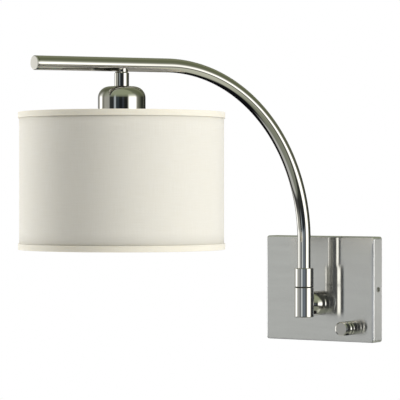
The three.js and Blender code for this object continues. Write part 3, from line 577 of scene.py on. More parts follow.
def pressed(width, height, corner, profile, holes=()):
    """Carries a rounded rectangle along a profile of (inset, out), fills its first and last loops and
    lines the holes between them. U runs across the brushing: up the flat faces, and along the profile on
    the walls, where V is the distance round the outline."""
    middle, way = rectangle(width, height, corner)
    inset, out = profile[:, 0], profile[:, 1]
    radius = np.maximum(corner - inset, TIGHTEST)[:, None, None]
    shrink = np.minimum(corner - inset - TIGHTEST, 0)[:, None, None]
    plan = middle[None] + np.sign(middle)[None] * shrink + way[None] * radius
    grid = np.concatenate([plan, np.broadcast_to(out[:, None, None], (*plan.shape[:2], 1))], 2)
    along = np.concatenate([[0], np.cumsum(np.linalg.norm(np.diff(profile, axis=0), axis=1))])
    around_it = np.linalg.norm(np.diff(np.concatenate([plan[0], plan[0][:1]]), axis=0), axis=1)
    around_it = np.concatenate([[0], np.cumsum(around_it)])
    uv = np.stack(np.meshgrid(along, around_it, indexing="ij"), -1) * MM
    patches = [grid_patch(grid, uv=uv)]
    for row in (0, -1):
        points, faces, flat = flat_patch(plan[row], holes, out[row])
        patches.append((points, faces, flat[:, ::-1]))
    for hole in holes:
        wall = np.stack([np.column_stack([hole, np.full(len(hole), out[row])]) for row in (0, -1)])
        lining = np.concatenate([hole, hole[:1]])[None].repeat(2, 0)[:, :, ::-1] * MM
        patches.append(grid_patch(wall, uv=lining))
    return patches


# %% [markdown]
# The pan's profile starts on the front face, rounds the front edge, runs back to the wall, turns inside and
# comes forward again to the inner face. Two holes let the knuckle's nipple and the dimmer's bushing through.

# %% Back plate
PLATE_WIDTH, PLATE_HEIGHT, PLATE_DEPTH, PLATE_WALL, PLATE_CORNER = 151, 127, 20, 1.6, 3.2
INNER_FACE = PLATE_DEPTH - PLATE_WALL
KNUCKLE_Z = -17.8
DIMMER_X, DIMMER_Z = 44.8, -46.4
NIPPLE_HOLE = 5.2
pan = rounded([
    (4.0, PLATE_DEPTH, 0), (0, PLATE_DEPTH, 1.8), (0, 0, 0.25), (PLATE_WALL, 0, 0.25),
    (PLATE_WALL, INNER_FACE, 0.4), (4.0, INNER_FACE, 0)], closed=False, steps=7)
holes = [circle(0, KNUCKLE_Z, NIPPLE_HOLE), circle(DIMMER_X, DIMMER_Z, NIPPLE_HOLE)]
plate = pressed(PLATE_WIDTH, PLATE_HEIGHT, PLATE_CORNER, pan, holes)
make("backplate", plate, on_wall(0, 0), brushed_nickel)

# %% [markdown]
# Behind the plate is a zinc plated strap. It is screwed to the box in the wall through two slots, and its
# upturned ears take the small screws that hold the plate from the sides. The ears are bent from the strap,
# so they are a flat section carried round a bend.

# %% Mounting strap
def carried(section, line, side_way, ends=True):
    """Carries a closed section along a line. At each point the section's x lies along side_way and its y
    along the line's direction cross side_way. The ends are closed with their middle points."""
    ahead = np.gradient(line, axis=0)
    ahead /= np.linalg.norm(ahead, axis=1, keepdims=True)
    across = side_way - ahead * (ahead @ side_way)[:, None]
    across /= np.linalg.norm(across, axis=1, keepdims=True)
    upward = np.cross(ahead, across)
    grid = line[:, None] + section[None, :, :1] * across[:, None] + section[None, :, 1:] * upward[:, None]
    if ends:
        first = grid[:1].mean(1, keepdims=True).repeat(len(section), 1)
        last = grid[-1:].mean(1, keepdims=True).repeat(len(section), 1)
        grid = np.concatenate([first, grid, last])
    return grid_patch(grid)


EAR_PLAY = 1.3  # between an ear and the plate's wall
STRAP_THICKNESS, STRAP_HEIGHT, EAR_WIDTH = 2, 40, 28
BOX_SLOT_X, WIRE_HOLE_X, WIRE_HOLE_RADIUS = 44.45, 21, 7
GROUND_X, GROUND_Z, GROUND_HOLE = -58, -10, 2.3
flat_end = PLATE_WIDTH / 2 - PLATE_WALL - EAR_PLAY - 3
sheet_edge = rounded([
    (1, STRAP_THICKNESS, 0), (0, STRAP_THICKNESS, 0.3), (0, 0, 0.3), (1, 0, 0)], closed=False, steps=3)
strap_holes = [slot_outline(side * BOX_SLOT_X, 0, 6, 14) for side in (-1, 1)]
strap_holes += [circle(side * WIRE_HOLE_X, 0, WIRE_HOLE_RADIUS) for side in (-1, 1)]
strap_holes += [circle(GROUND_X, GROUND_Z, GROUND_HOLE, 24)]
strap = pressed(2 * flat_end, STRAP_HEIGHT, 1.2, sheet_edge, strap_holes)
strap = [(points, faces, None) for points, faces, _ in strap]
bend = np.linspace(0, math.pi / 2, 7)
ear_section = rounded([
    (-EAR_WIDTH / 2, -1, 0.3), (EAR_WIDTH / 2, -1, 0.3), (EAR_WIDTH / 2, 1, 0.3),
    (-EAR_WIDTH / 2, 1, 0.3)], steps=2)
for side in (-1, 1):
    rise = np.column_stack([
        side * np.concatenate([[flat_end], flat_end + 2 * np.sin(bend), [flat_end + 2] * 2]),
        np.zeros(len(bend) + 3),
        np.concatenate([[1], 3 - 2 * np.cos(bend), [8, 14]]),
    ])
    strap.append(carried(ear_section, rise, LOCAL_Y))
make("mounting_strap", strap, on_wall(0, 0), zinc_steel, smooth=30)

# %% [markdown]
# A side screw has a low head and a hexagon socket, so it needs no wide recess in the plate's wall. The green
# screw on the strap takes the earth lead. Both are one profile whose socket part is turned as a hexagon.

# %% Screws
SCREW_SHANK, SCREW_SOCKET = 2, 1.25
for side, label in ((-1, "left"), (1, "right")):
    across = place((0, -10, 0), UP, (side, 0, 0))
    screw = socket_screw(2.9, 75.8, 76.9, SCREW_SHANK, 67, SCREW_SOCKET)
    make("side_screw_" + label, [screw], across, satin_nickel)
screw = socket_screw(4, 2.3, 4.8, SCREW_SHANK, 0, SCREW_SOCKET)
make("ground_screw", [screw], on_wall(GROUND_X, GROUND_Z), green_screw)

# %% [markdown]
# ## The knuckle
#
# A short round base stands on the plate and a dome caps it. The dome is cut hollow where the upright swivel
# passes, like two pipes that meet at a saddle joint. The dome is half an ellipsoid. On each meridian the cut
# begins where the point is one swivel radius from the swivel's axis, and a few rounds of halving find it.

# %% Knuckle
KNUCKLE = on_wall(0, KNUCKLE_Z)
DOME_RADIUS, DOME_FOOT, DOME_LENGTH = 14.6, 30.0, 16.0
SADDLE = 12.05  # the swivel's radius and a little play
FOOT_EDGE = 0.25  # the dome's foot is broken by this much
NIPPLE_RADIUS, NIPPLE_BORE, NIPPLE_THREAD, NIPPLE_PITCH = 4.85, 3.2, 0.55, 0.94
NUT_ACROSS, WASHER_RADIUS = 14, 9


def dome_grid(sides=128, steps=36):
    """Rows: the foot ring, the ellipsoid up to the cut, the saddle in to the bore, and the bore."""
    angle = np.linspace(0, 2 * math.pi, sides, endpoint=False)

    def to_axis(lift):
        radius = DOME_RADIUS * np.cos(lift)
        out = DOME_FOOT + DOME_LENGTH * np.sin(lift)
        return np.hypot(radius * np.cos(angle), SWIVEL_OUT - out)

    low, high = np.zeros(sides), np.full(sides, math.pi / 2)
    for _ in range(40):
        half = (low + high) / 2
        outside = to_axis(half) > SADDLE
        low, high = np.where(outside, half, low), np.where(outside, high, half)
    lift = np.linspace(0, 1, steps)[:, None] * low[None, :]
    dome_r, dome_h = DOME_RADIUS * np.cos(lift), DOME_FOOT + DOME_LENGTH * np.sin(lift)
    share = np.linspace(0.02, 1, 10)[:, None]
    saddle_r = dome_r[-1:] + (NIPPLE_HOLE - dome_r[-1:]) * share
    saddle_h = SWIVEL_OUT - np.sqrt(SADDLE**2 - (saddle_r * np.cos(angle)) ** 2)
    foot_r = np.array([NIPPLE_HOLE, DOME_RADIUS - 0.6, DOME_RADIUS - FOOT_EDGE])[:, None] + 0 * angle
    foot_h = np.full((3, sides), DOME_FOOT)
    dome_h[0] += FOOT_EDGE
    radius = np.concatenate([foot_r, dome_r, saddle_r])
    height = np.concatenate([foot_h, dome_h, saddle_h])
    return np.stack([radius * np.cos(angle), radius * np.sin(angle), height], -1)


dome = grid_patch(dome_grid(), rows_closed=True)
make("knuckle_dome", [dome], KNUCKLE, polished_nickel)
base = rounded([
    (NIPPLE_HOLE, 20.3, 0.1), (DOME_RADIUS, 20.3, 0.4), (DOME_RADIUS, 28.4, 0.3),
    (DOME_RADIUS - 0.65, 29.7, 0.3), (NIPPLE_HOLE, 29.7, 0.1)])
make("knuckle_base", [turned(base)], KNUCKLE, polished_nickel)
nipple = threaded(NIPPLE_RADIUS, NIPPLE_THREAD, NIPPLE_PITCH, 9, 47.2, inner=NIPPLE_BORE)
make("knuckle_nipple", [nipple], KNUCKLE, brass)
washer = ring_profile(NIPPLE_HOLE, WASHER_RADIUS, 17.1, 18.1, 0.2)
make("knuckle_lock_washer", [turned(washer, 64)], KNUCKLE, zinc_steel)
nut = hex_nut(NUT_ACROSS, 13.2, 16.8, NIPPLE_HOLE)
make("knuckle_lock_nut", [nut], KNUCKLE, zinc_steel, smooth=25)

# %% [markdown]
# ## The swivel
#
# The arm turns on an upright swivel of two cups: the lower one is fixed to the knuckle and the collar above
# it turns with the arm. A thin dark washer keeps them apart. Each part is turned, so each is a profile
# carried round the axis.

# %% Swivel
SWIVEL_RADIUS, SWIVEL_BORE, SWIVEL_FOOT, SWIVEL_TOP = 11.75, 8.3, -33, 25.9
COLLAR_RADIUS, COLLAR_BORE, PIVOT_HOLE = 11.6, 8.25, 5.3
GRUB_HEIGHT = 17
body_profile = rounded([
    (SWIVEL_BORE, SWIVEL_FOOT, 0.2), (SWIVEL_RADIUS, SWIVEL_FOOT, 0.9), (SWIVEL_RADIUS, 2.4, 0.35),
    (SWIVEL_BORE, 2.4, 0.1)])
make("swivel_body", [turned(body_profile, 128)], POST, polished_nickel)
cap = rounded([(0, -32.4, 0), (8, -32.4, 0.4), (8, -30, 0.2), (0, -30, 0)], closed=False)
make("swivel_bottom_cap", [turned(cap, 96, closed=False)], POST, polished_nickel)
collar = rounded([
    (PIVOT_HOLE, 3.5, 0.1), (COLLAR_RADIUS, 3.5, 0.35), (COLLAR_RADIUS, SWIVEL_TOP, 0.7),
    (COLLAR_BORE, SWIVEL_TOP, 0.15), (COLLAR_BORE, 8, 0.1), (PIVOT_HOLE, 8, 0.1)])
make("swivel_collar", [turned(collar, 128)], ARM, polished_nickel)
seam_washer = ring_profile(PIVOT_HOLE, 11.25, 2.7, 3.2, 0.1)
make("swivel_washer", [turned(seam_washer, 96)], ARM, nylon)
back_of_arm = place(ARM[0] + GRUB_HEIGHT * UP, UP, -ARM_OUT)
grub = rounded([
    (0, 8.35, 0), (2, 8.35, 0.3), (2, 11.3, 0.25), (1.05, 11.3, 0.05), (1, 10.1, 0), (0, 10.1, 0),
], closed=False, steps=3)
grub_shape = np.where((grub[:, :1] < 1.1) & (grub[:, 1:] > 9), hexagon(48)[None, :], 1.0)
grub_screw = turned(grub, 48, closed=False, shape=grub_shape)
make("collar_screw", [grub_screw], back_of_arm, zinc_steel)

# %% [markdown]
# ## The arm
#
# The arm is one length of tube, bent round a former with a radius of 203 mm. Its centre line rises straight,
# follows the bend a little past a quarter turn and runs out level. A curve object with a bevel would also
# make it, but carrying a ring of points along the exact line keeps the bend's radius true and gives the tube
# its wall.

# %% Arm tube
BEND_START, BEND_RADIUS, BEND = 58.9, 203.0, math.radians(91)
TUBE_RADIUS, TUBE_WALL, TUBE_FOOT = 7.95, 1.25, 8.3
REACH = 388.7  # from the swivel's axis to the free end
CAP_HEAD, GAP = 2, 0.3


def arm_line(along):
    """The centre line at a distance along it: straight up, then round the bend, then straight on.
    turn is how far round the bend it has gone, and beyond is how far past the bend."""
    rise = BEND_START - TUBE_FOOT
    turn = np.clip((along - rise) / BEND_RADIUS, 0, BEND)
    beyond = np.maximum(along - rise - BEND_RADIUS * BEND, 0)
    x = BEND_RADIUS * (1 - np.cos(turn)) + beyond * np.sin(turn)
    z = TUBE_FOOT + np.minimum(along, rise) + BEND_RADIUS * np.sin(turn) + beyond * np.cos(turn)
    return np.column_stack([x, 0 * x, z])


rise = BEND_START - TUBE_FOOT
bend_length = BEND_RADIUS * BEND
straight = (REACH - BEND_RADIUS * (1 - math.cos(BEND))) / math.sin(BEND)
length = rise + bend_length + straight
tube_end = length - CAP_HEAD - GAP
stations = np.concatenate([
    [0, 0.3], np.linspace(1, rise, 6)[:-1], np.linspace(rise, rise + bend_length, 120),
    np.linspace(length - straight, tube_end, 8)[1:-1], [tube_end - 0.3, tube_end]])
line = arm_line(stations)
slope = np.gradient(line, axis=0)
slope /= np.linalg.norm(slope, axis=1, keepdims=True)
outward = np.cross(slope, LOCAL_Y)
angle = np.linspace(0, 2 * math.pi, 96, endpoint=False)
around_line = np.cos(angle)[None, :, None] * outward[:, None] + np.sin(angle)[None, :, None] * LOCAL_Y
outer, inner = (line[:, None] + radius * around_line for radius in (TUBE_RADIUS, TUBE_RADIUS - TUBE_WALL))
tube = np.concatenate([outer, inner[::-1]])
make("arm_tube", [grid_patch(tube, rows_closed=True)], ARM, polished_nickel)
print("tube length:", round(length), "mm, points along it:", len(stations))

# %% [markdown]
# A plug with a thin head closes the tube's free end. Its head is as wide as the tube, and its rounded edge
# draws a bright ring round the end. The tube slopes down by one degree there, so the plug does too.

# %% Arm end cap
end = arm_line(np.array([length]))[0]
end_way = math.cos(BEND - math.pi / 2) * ARM_OUT - math.sin(BEND - math.pi / 2) * UP
end_place = place(ARM[0] + end[0] * ARM_OUT + end[2] * UP, ARM_SIDE, end_way)
plug = rounded([
    (0, -9, 0), (6.4, -9, 0.4), (6.4, -CAP_HEAD, 0.05), (TUBE_RADIUS, -CAP_HEAD, 0.1),
    (TUBE_RADIUS, 0, 0.75), (0, 0, 0)], closed=False)
make("arm_end_cap", [turned(plug, 96, closed=False)], end_place, polished_nickel)

# %% [markdown]
# ## The lamp holder
#
# A short stem hangs under the arm. Its neck is cut to fit round the tube, so the top row of its surface
# follows the tube: at sideways distance y from the tube's axis, the cut is the square root of r2 - y2 below
# it. The cup below is spun brass, a wide flat-topped bowl with rounded shoulders, 1.2 mm thick.

# %% Stem and cup
STEM_RADIUS, STEM_NECK, STEM_SHOULDER = 8.15, 6.9, 251
CUP_RADIUS, CUP_TOP, CUP_MOUTH, CUP_WALL, CUP_SHOULDER = 26.75, 236, 178, 1.2, 12.9
tube_z = float(np.interp(STEM_REACH, line[:, 0], line[:, 2]))
stem_profile = rounded([
    (NIPPLE_HOLE, CUP_TOP + GAP, 0.1), (STEM_RADIUS, CUP_TOP + GAP, 0.25),
    (STEM_RADIUS, STEM_SHOULDER, 0.35), (STEM_NECK, 252.3, 0.2)], closed=False, steps=4)
stem_r = np.concatenate([stem_profile[:, :1], [[STEM_NECK], [NIPPLE_HOLE]]]) + 0 * angle
stem_h = np.concatenate([stem_profile[:, 1:], [[0], [0]]]) + 0 * angle
stem_h[-2:] = tube_z - np.sqrt((TUBE_RADIUS + GAP) ** 2 - (stem_r[-2:] * np.sin(angle)) ** 2)
stem = np.stack([stem_r * np.cos(angle), stem_r * np.sin(angle), stem_h], -1)
make("stem", [grid_patch(stem, rows_closed=True)], HOLDER, polished_nickel)
cup_inside = CUP_RADIUS - CUP_WALL
cup = rounded([
    (CUP_RADIUS, CUP_MOUTH, 0.35), (CUP_RADIUS, CUP_TOP, CUP_SHOULDER), (NIPPLE_HOLE, CUP_TOP, 0.1),
    (NIPPLE_HOLE, CUP_TOP - CUP_WALL, 0.1), (cup_inside, CUP_TOP - CUP_WALL, CUP_SHOULDER - CUP_WALL),
    (cup_inside, CUP_MOUTH, 0.35)], steps=16)
make("socket_cup", [turned(cup, 160)], HOLDER, polished_nickel)
nipple = threaded(NIPPLE_RADIUS, NIPPLE_THREAD, NIPPLE_PITCH, 222, 262.2, inner=NIPPLE_BORE)
make("stem_nipple", [nipple], HOLDER, brass)
washer = ring_profile(NIPPLE_HOLE, WASHER_RADIUS, 233.3, 234.5, 0.2)
make("cup_washer", [turned(washer, 64)], HOLDER, zinc_steel)
nut = hex_nut(NUT_ACROSS, 229, 233, NIPPLE_HOLE)
make("cup_nut", [nut], HOLDER, zinc_steel, smooth=25)

# %% [markdown]
# ## Socket and bulb
#
# The socket is glazed porcelain with a thread rolled in brass sheet. The bulb's base has the same thread, so
# both use one wave with a pitch of 3.6 mm, half a millimetre apart.

# %% Socket
SOCKET_RADIUS, SOCKET_CAVITY, SOCKET_MOUTH, SOCKET_TOP, HUB_TOP = 19.2, 14.3, 160, 218, 226
LAMP_PITCH, LAMP_DEPTH = 3.6, 0.9
socket = rounded([
    (SOCKET_CAVITY, SOCKET_MOUTH, 0.4), (SOCKET_RADIUS, SOCKET_MOUTH, 0.6), (SOCKET_RADIUS, 172.4, 0.3),
    (22.5, 172.4, 0.4), (22.5, 175.4, 0.4), (SOCKET_RADIUS, 175.4, 0.3),
    (SOCKET_RADIUS, SOCKET_TOP - 4, 1.2), (SOCKET_RADIUS - 4, SOCKET_TOP, 1.2), (9, SOCKET_TOP, 0.4),
    (9, HUB_TOP, 0.5), (NIPPLE_HOLE, HUB_TOP, 0.2), (NIPPLE_HOLE, 196, 0.1), (SOCKET_CAVITY, 196, 0.3),
], steps=4)
make("socket_body", [turned(socket, 96)], HOLDER, porcelain)
angle = np.linspace(0, 2 * math.pi, 72, endpoint=False)[None, :]
height = np.linspace(162, 190, 70)[:, None]
wave = thread_depth(angle, height, LAMP_PITCH, LAMP_DEPTH, soft=True)
inner_r, outer_r = 13.4 - wave, 13.8 - wave
shell_r = np.concatenate([outer_r, inner_r[::-1]])
shell_h = np.concatenate([height, height[::-1]]) + 0 * angle
shell = np.stack([shell_r * np.cos(angle), shell_r * np.sin(angle), shell_h], -1)
make("socket_screw_shell", [grid_patch(shell, rows_closed=True)], HOLDER, brass)

# %% [markdown]
# The bulb's glass is a ball that eases into a neck. A subdivided cylinder could be pulled into that shape,
# but a profile gives it exactly: below 32 degrees it is a circle, and from there up the radius shrinks by a
# mix of a straight line and a half cosine. The glass is closed inside its base.

# %% Bulb
BULB_RADIUS, BULB_MIDDLE, BULB_NECK, NECK_FOOT = 30, 112, 12.6, 160
BALL_ENDS = 32  # degrees above the ball's middle
base = threaded(12.9, LAMP_DEPTH, LAMP_PITCH, 165, 188, sides=72, per_turn=12, soft=True)
make("bulb_base", [base], HOLDER, bulb_metal)
button = rounded([(0, 188.3, 0), (9, 188.3, 0.3), (4, 190.6, 0.4), (0, 190.6, 0)], closed=False)
make("bulb_insulator", [turned(button, 48, closed=False)], HOLDER, black_phenolic)
lift = np.radians(np.linspace(-90, BALL_ENDS, 40))
ball = np.column_stack([BULB_RADIUS * np.cos(lift), BULB_MIDDLE + BULB_RADIUS * np.sin(lift)])
share = np.linspace(0, 1, 26)[1:, None]
ease = 0.35 * share + 0.65 * (1 - np.cos(math.pi * share)) / 2
neck = ball[-1] + (np.array([BULB_NECK, NECK_FOOT]) - ball[-1]) * np.hstack([ease, share])
glass = np.concatenate([ball, neck, [[BULB_NECK, 164.7], [0, 164.7]]])
make("bulb_glass", [turned(glass, 96, closed=False)], HOLDER, frosted_glass)

# %% [markdown]
# ## The shade's frame
#
# Three enamelled spokes rise from a hub, which a threaded ring clamps to the socket, to a wire ring inside
# the top of the drum. A second wire ring keeps the bottom round. Rings and spokes are a small circle carried
# round a large one or along a line.

# %% Fitter, spokes and wires
RING_RADIUS, RING_WIRE, TOP_WIRE_Z, LOW_WIRE_Z = 112.2, 1, 204.7, 55.3
FITTER_Z, SPOKE_START, SPOKE_END, SPOKE_WIRE = 171.1, 23.8, 110.3, 1.6
KNURLS = 36
around = np.linspace(0, 2 * math.pi, 24, endpoint=False)


def wire_ring(z):
    """A torus: a circle of the wire's radius carried round a circle of the ring's radius."""
    profile = np.column_stack([RING_RADIUS + RING_WIRE * np.cos(around), z + RING_WIRE * np.sin(around)])
    return turned(profile, 160)


make("shade_top_wire", [wire_ring(TOP_WIRE_Z)], HOLDER, white_enamel)
make("shade_bottom_wire", [wire_ring(LOW_WIRE_Z)], HOLDER, white_enamel)
hub = ring_profile(19.5, 22.8, FITTER_Z - 1, FITTER_Z + 1, 0.5)
make("fitter_hub", [turned(hub, 96)], HOLDER, white_enamel)
clamp = rounded([(19.5, 166.1, 0.3), (22.9, 166.1, 0.7), (22.9, 169.8, 0.4), (19.5, 169.8, 0.2)])
knurl = 1 - 0.012 * (1 + np.cos(KNURLS * np.linspace(0, 2 * math.pi, 288, endpoint=False)))[None, :]
knurl = np.where(clamp[:, :1] > 21, knurl, 1.0)
make("shade_clamp_ring", [turned(clamp, 288, shape=knurl)], HOLDER, black_phenolic)
wire_section = SPOKE_WIRE * np.column_stack([np.cos(around), np.sin(around)])
radius = np.linspace(SPOKE_START, SPOKE_END, 12)
height = FITTER_Z + (radius - SPOKE_START) * (TOP_WIRE_Z - FITTER_Z) / (RING_RADIUS - SPOKE_START)
for number in (1, 2, 3):
    way = math.radians(60 + 120 * (number - 1))
    spoke_line = np.column_stack([radius * math.cos(way), radius * math.sin(way), height])
    spoke = carried(wire_section, spoke_line, UP)
    make(f"fitter_spoke_{number}", [spoke], HOLDER, white_enamel)

# %% [markdown]
# ## The shade
#
# The drum is a strip of cloth, glued to a stiff styrene liner and lapped 12 mm over itself at the back. The
# strip is a sheet with two parameters, the distance round and the height. Its radius steps out by one
# thickness where the end lies over the start. Solidify gives the sheet its thickness. Cloth simulation would
# add nothing here, because glued cloth has no slack to fold.

# %% Cloth and liner
CLOTH_RADIUS, CLOTH_THICKNESS, LAP = 114.78, 0.35, 12.0
CLOTH_LOW, CLOTH_HIGH = 54.3, 205.7
LAP_ANGLE = math.radians(198.1)
STEP_ANGLE, STEP_PLAY = 0.04, 0.05  # radians the step takes, and mm between the two layers
ROWS, COLUMNS = 9, 300
wrap = 2 * math.pi + LAP / CLOTH_RADIUS
round_by = np.linspace(0, wrap, COLUMNS)
step = np.clip((round_by - (2 * math.pi - STEP_ANGLE)) / STEP_ANGLE, 0, 1)
radius = CLOTH_RADIUS + (CLOTH_THICKNESS + STEP_PLAY) * step * step * (3 - 2 * step)
rows = np.linspace(CLOTH_LOW, CLOTH_HIGH, ROWS)
strip = np.stack([
    np.broadcast_to(radius * np.cos(round_by + LAP_ANGLE), (ROWS, COLUMNS)),
    np.broadcast_to(radius * np.sin(round_by + LAP_ANGLE), (ROWS, COLUMNS)),
    np.broadcast_to(rows[:, None], (ROWS, COLUMNS))], -1)
distance = round_by * CLOTH_RADIUS
uv = np.stack(np.meshgrid(distance, rows), -1) * MM
strip_patch = grid_patch(strip, columns_closed=False, uv=uv)
fabric = make("shade_fabric", [strip_patch], HOLDER, shade_cloth)
thick = fabric.modifiers.new("cloth thickness", "SOLIDIFY")
thick.thickness = CLOTH_THICKNESS * MM
thick.offset = 0
liner = ring_profile(113.6, 114.3, CLOTH_LOW, CLOTH_HIGH, 0.1, 0.1)
make("shade_liner", [turned(liner, 200)], HOLDER, shade_liner)

# %% [markdown]
# Each rim is bound with a folded tape: an outer leg, a fold over the wire and a shorter inner leg. The
# tape's cut edge is turned under, which leaves a slightly raised lip that catches the light.

# %% Trims
SHADE_TOP, SHADE_BOTTOM = 207, 53
TAPE_RADIUS, TAPE_HEIGHT, TAPE_LIP, TAPE_SIDES = 116.45, 6.7, 0.22, 240


def tape(edge, side):
    """A folded tape with its fold at height edge. side is 1 where the drum lies below it, -1 above."""
    leg = TAPE_RADIUS - TAPE_LIP
    corners = [
        (TAPE_RADIUS - 0.2, TAPE_HEIGHT, 0.2), (TAPE_RADIUS, 6.5, 0.1), (TAPE_RADIUS, 5.9, 0.1),
        (leg, 5.6, 0.1), (leg, 1.2, 0.2), (TAPE_RADIUS - 0.1, 0, 0.5), (110.1, 0, 0.45),
        (110.1, 5.5, 0.3), (110.9, 5.5, 0.3), (110.9, 1, 0.2), (115.4, 1, 0.2),
        (115.4, TAPE_HEIGHT, 0.1)]
    profile = rounded([(r, edge - side * depth, fillet) for r, depth, fillet in corners], steps=3)
    points = turned(profile, TAPE_SIDES)[0]
    along = np.concatenate([[0], np.cumsum(np.linalg.norm(np.diff(profile, axis=0), axis=1))])
    along = np.append(along, along[-1] + 1)
    about = np.linspace(0, 2 * math.pi * 116, TAPE_SIDES + 1)
    uv = np.stack(np.meshgrid(about, along), -1) * MM
    return grid_patch(points.reshape(len(profile), TAPE_SIDES, 3), rows_closed=True, uv=uv)


trim_top = make("shade_trim_top", [tape(SHADE_TOP, 1)], HOLDER, shade_tape)
trim_bottom = make("shade_trim_bottom", [tape(SHADE_BOTTOM, -1)], HOLDER, shade_tape)

# %% [markdown]
# ## The dimmer
#
# A rotary dimmer sits behind the plate. Its bushing comes through, a round bezel nut holds it, and the knob
# turns on its shaft. Knob and bezel are turned from nickel plated brass, and a narrow gap lies between them.
# The knob has a shallow waist for the fingers. Its sloping sides catch the light where a plain cylinder's
# would not.

# %% Dimmer and knob
DIMMER = on_wall(DIMMER_X, DIMMER_Z)
KNOB_RADIUS, KNOB_WAIST, KNOB_FRONT, SHAFT_RADIUS = 8.5, 7.6, 44.7, 3
block = rounded([
    (3, 16.6, 0), (0, 16.6, 0.8), (0, 11, 0.1), (0.5, 10.7, 0.1), (0.5, 10.1, 0.1), (0, 9.8, 0.1),
    (0, 3.6, 0.8), (3, 3.6, 0)], closed=False, steps=4)
case = [(points, faces, None) for points, faces, _ in pressed(26, 24, 2, block)]
make("dimmer_body", case, DIMMER, black_phenolic)
bushing = threaded(4.6, 0.4, 0.75, 16.9, 27, inner=3.3)
make("dimmer_bushing", [bushing], DIMMER, zinc_steel)
bezel = rounded([(4.9, 20.3, 0.3), (KNOB_RADIUS, 20.3, 0.3), (KNOB_RADIUS, 28.3, 1.5), (4.9, 28.3, 0.3)])
make("dimmer_bezel", [turned(bezel)], DIMMER, polished_nickel)
shaft = rounded([
    (0, 8.3, 0), (SHAFT_RADIUS, 8.3, 0.3), (SHAFT_RADIUS, 41.4, 0.3), (0, 41.4, 0)], closed=False)
make("dimmer_shaft", [turned(shaft, 48, closed=False)], DIMMER, zinc_steel)
knob = rounded([
    (3.3, 28.66, 0.1), (8, 28.66, 0.4), (KNOB_RADIUS, 29.6, 0.4), (KNOB_RADIUS, 33.7, 0.3),
    (KNOB_WAIST, 34.9, 0.3), (KNOB_WAIST, 35.9, 0.3), (KNOB_RADIUS, 37.1, 0.3),
    (KNOB_RADIUS, 44.1, 0.2), (7.2, KNOB_FRONT, 0.2), (0, KNOB_FRONT, 0), (0, 41.7, 0),
    (3.3, 41.7, 0.1)], steps=6)
make("dimmer_knob", [turned(knob, 96)], DIMMER, polished_nickel)

# %% [markdown]
# ## Wires behind the plate
#
# Leads from the arm and the dimmer end in twist-on connectors, and a green one goes to the earth screw.
# Each lead is a smooth curve through a few points: a Catmull-Rom spline, which passes through every point
# with a slope set by its neighbours. The connectors are cones with grip ribs.

# %% Leads and connectors
def smooth_line(points, per_span=10):
    """A Catmull-Rom curve. In a span from b to c, with neighbours a and d and share t, the point is half of
    2b + (c - a) t + (2a - 5b + 4c - d) t2 + (3b - a - 3c + d) t3."""
    points = np.array(points, float)
    padded = np.concatenate([2 * points[:1] - points[1:2], points, 2 * points[-1:] - points[-2:-1]])
    a, b, c, d = (padded[k:len(padded) - 3 + k, None] for k in range(4))
    t = np.linspace(0, 1, per_span, endpoint=False)[None, :, None]
    spans = (2 * b + (c - a) * t + (2 * a - 5 * b + 4 * c - d) * t**2
             + (3 * b - a - 3 * c + d) * t**3) / 2
    return np.concatenate([spans.reshape(-1, 3), points[-1:]])


LEAD_RADIUS = 1.2
CONNECTOR_X, CONNECTOR_OUT, CONNECTOR_MOUTH, CONNECTOR_RIBS = 26, 9, 38, 12
lead_section = LEAD_RADIUS * np.column_stack([np.cos(around), np.sin(around)])[::2]
leads = {
    "lead_neutral": (white_insulation, "white_insulation", [
        (-2.2, -17, 7.2), (-4, -14, 5.2), (-12, 0, 5.4), (-22, 16, 8), (-26, 30, 9), (-26, 37.6, 9)]),
    "lead_ground": (green_insulation, "green_insulation", [
        (-0.4, -20.6, 7.2), (-2, -23, 5.4), (-18, -27, 5.5), (-40, -26, 5.6), (-55, -20, 5.6),
        (-58, -15.5, 4)]),
    "lead_dimmed": (black_insulation, "black_insulation", [
        (2.4, -17.6, 7.2), (5, -19, 5.2), (16, -27, 5.6), (24, -35, 8), (30.9, -40, 9)]),
    "lead_live": (black_insulation, "black_insulation", [
        (45, -34, 9.5), (44, -27, 8.5), (37, -8, 6), (29, 14, 7), (26, 28, 9), (26, 37.6, 9)]),
}
for lead_name, (material, slot, route) in leads.items():
    lead = carried(lead_section, smooth_line(route), UP)
    make(lead_name, [lead], on_wall(0, 0), material)
cone = rounded([(0, 0, 0), (5.5, 0, 0.5), (5.5, 5, 0.5), (3.4, 19, 0.5), (2.4, 20, 0.4), (0, 20, 0)],
               closed=False)
cone = np.repeat(cone, 2, 0)
cone[1:-1:2] = (cone[1:-1:2] + cone[2::2]) / 2
ribs = np.cos(CONNECTOR_RIBS * np.linspace(0, 2 * math.pi, 192, endpoint=False))
ribs = 1 - 0.04 * (1 + ribs)[None, :]
ribs = np.where((cone[:, 1:] > 5.5) & (cone[:, 1:] < 18), ribs, 1.0)
connector = turned(cone, 192, closed=False, shape=ribs)
for x, connector_name in ((-CONNECTOR_X, "wire_nut_neutral"), (CONNECTOR_X, "wire_nut_live")):
    upward = place((x, -CONNECTOR_OUT, CONNECTOR_MOUTH), (1, 0, 0), UP)
    make(connector_name, [connector], upward, orange_plastic)

# %% [markdown]
# ## CAD parts that stay
#
# A few parts are inside others, and the shape that CAD gave them is right. They keep their meshes and only
# get a finish.

# %% Finishes of the CAD parts
kept_parts = {
    "swivel_bushing": nylon, "swivel_pivot": zinc_steel, "pivot_nut": zinc_steel,
    "arm_wire": black_insulation, "socket_contact": brass,
}
for cad_name, material in kept_parts.items():
    cad_mesh = frame["nodes"][cad_name].data
    cad_mesh.materials.clear()
    cad_mesh.materials.append(material)
print("CAD parts with a new finish:", sorted(kept_parts))

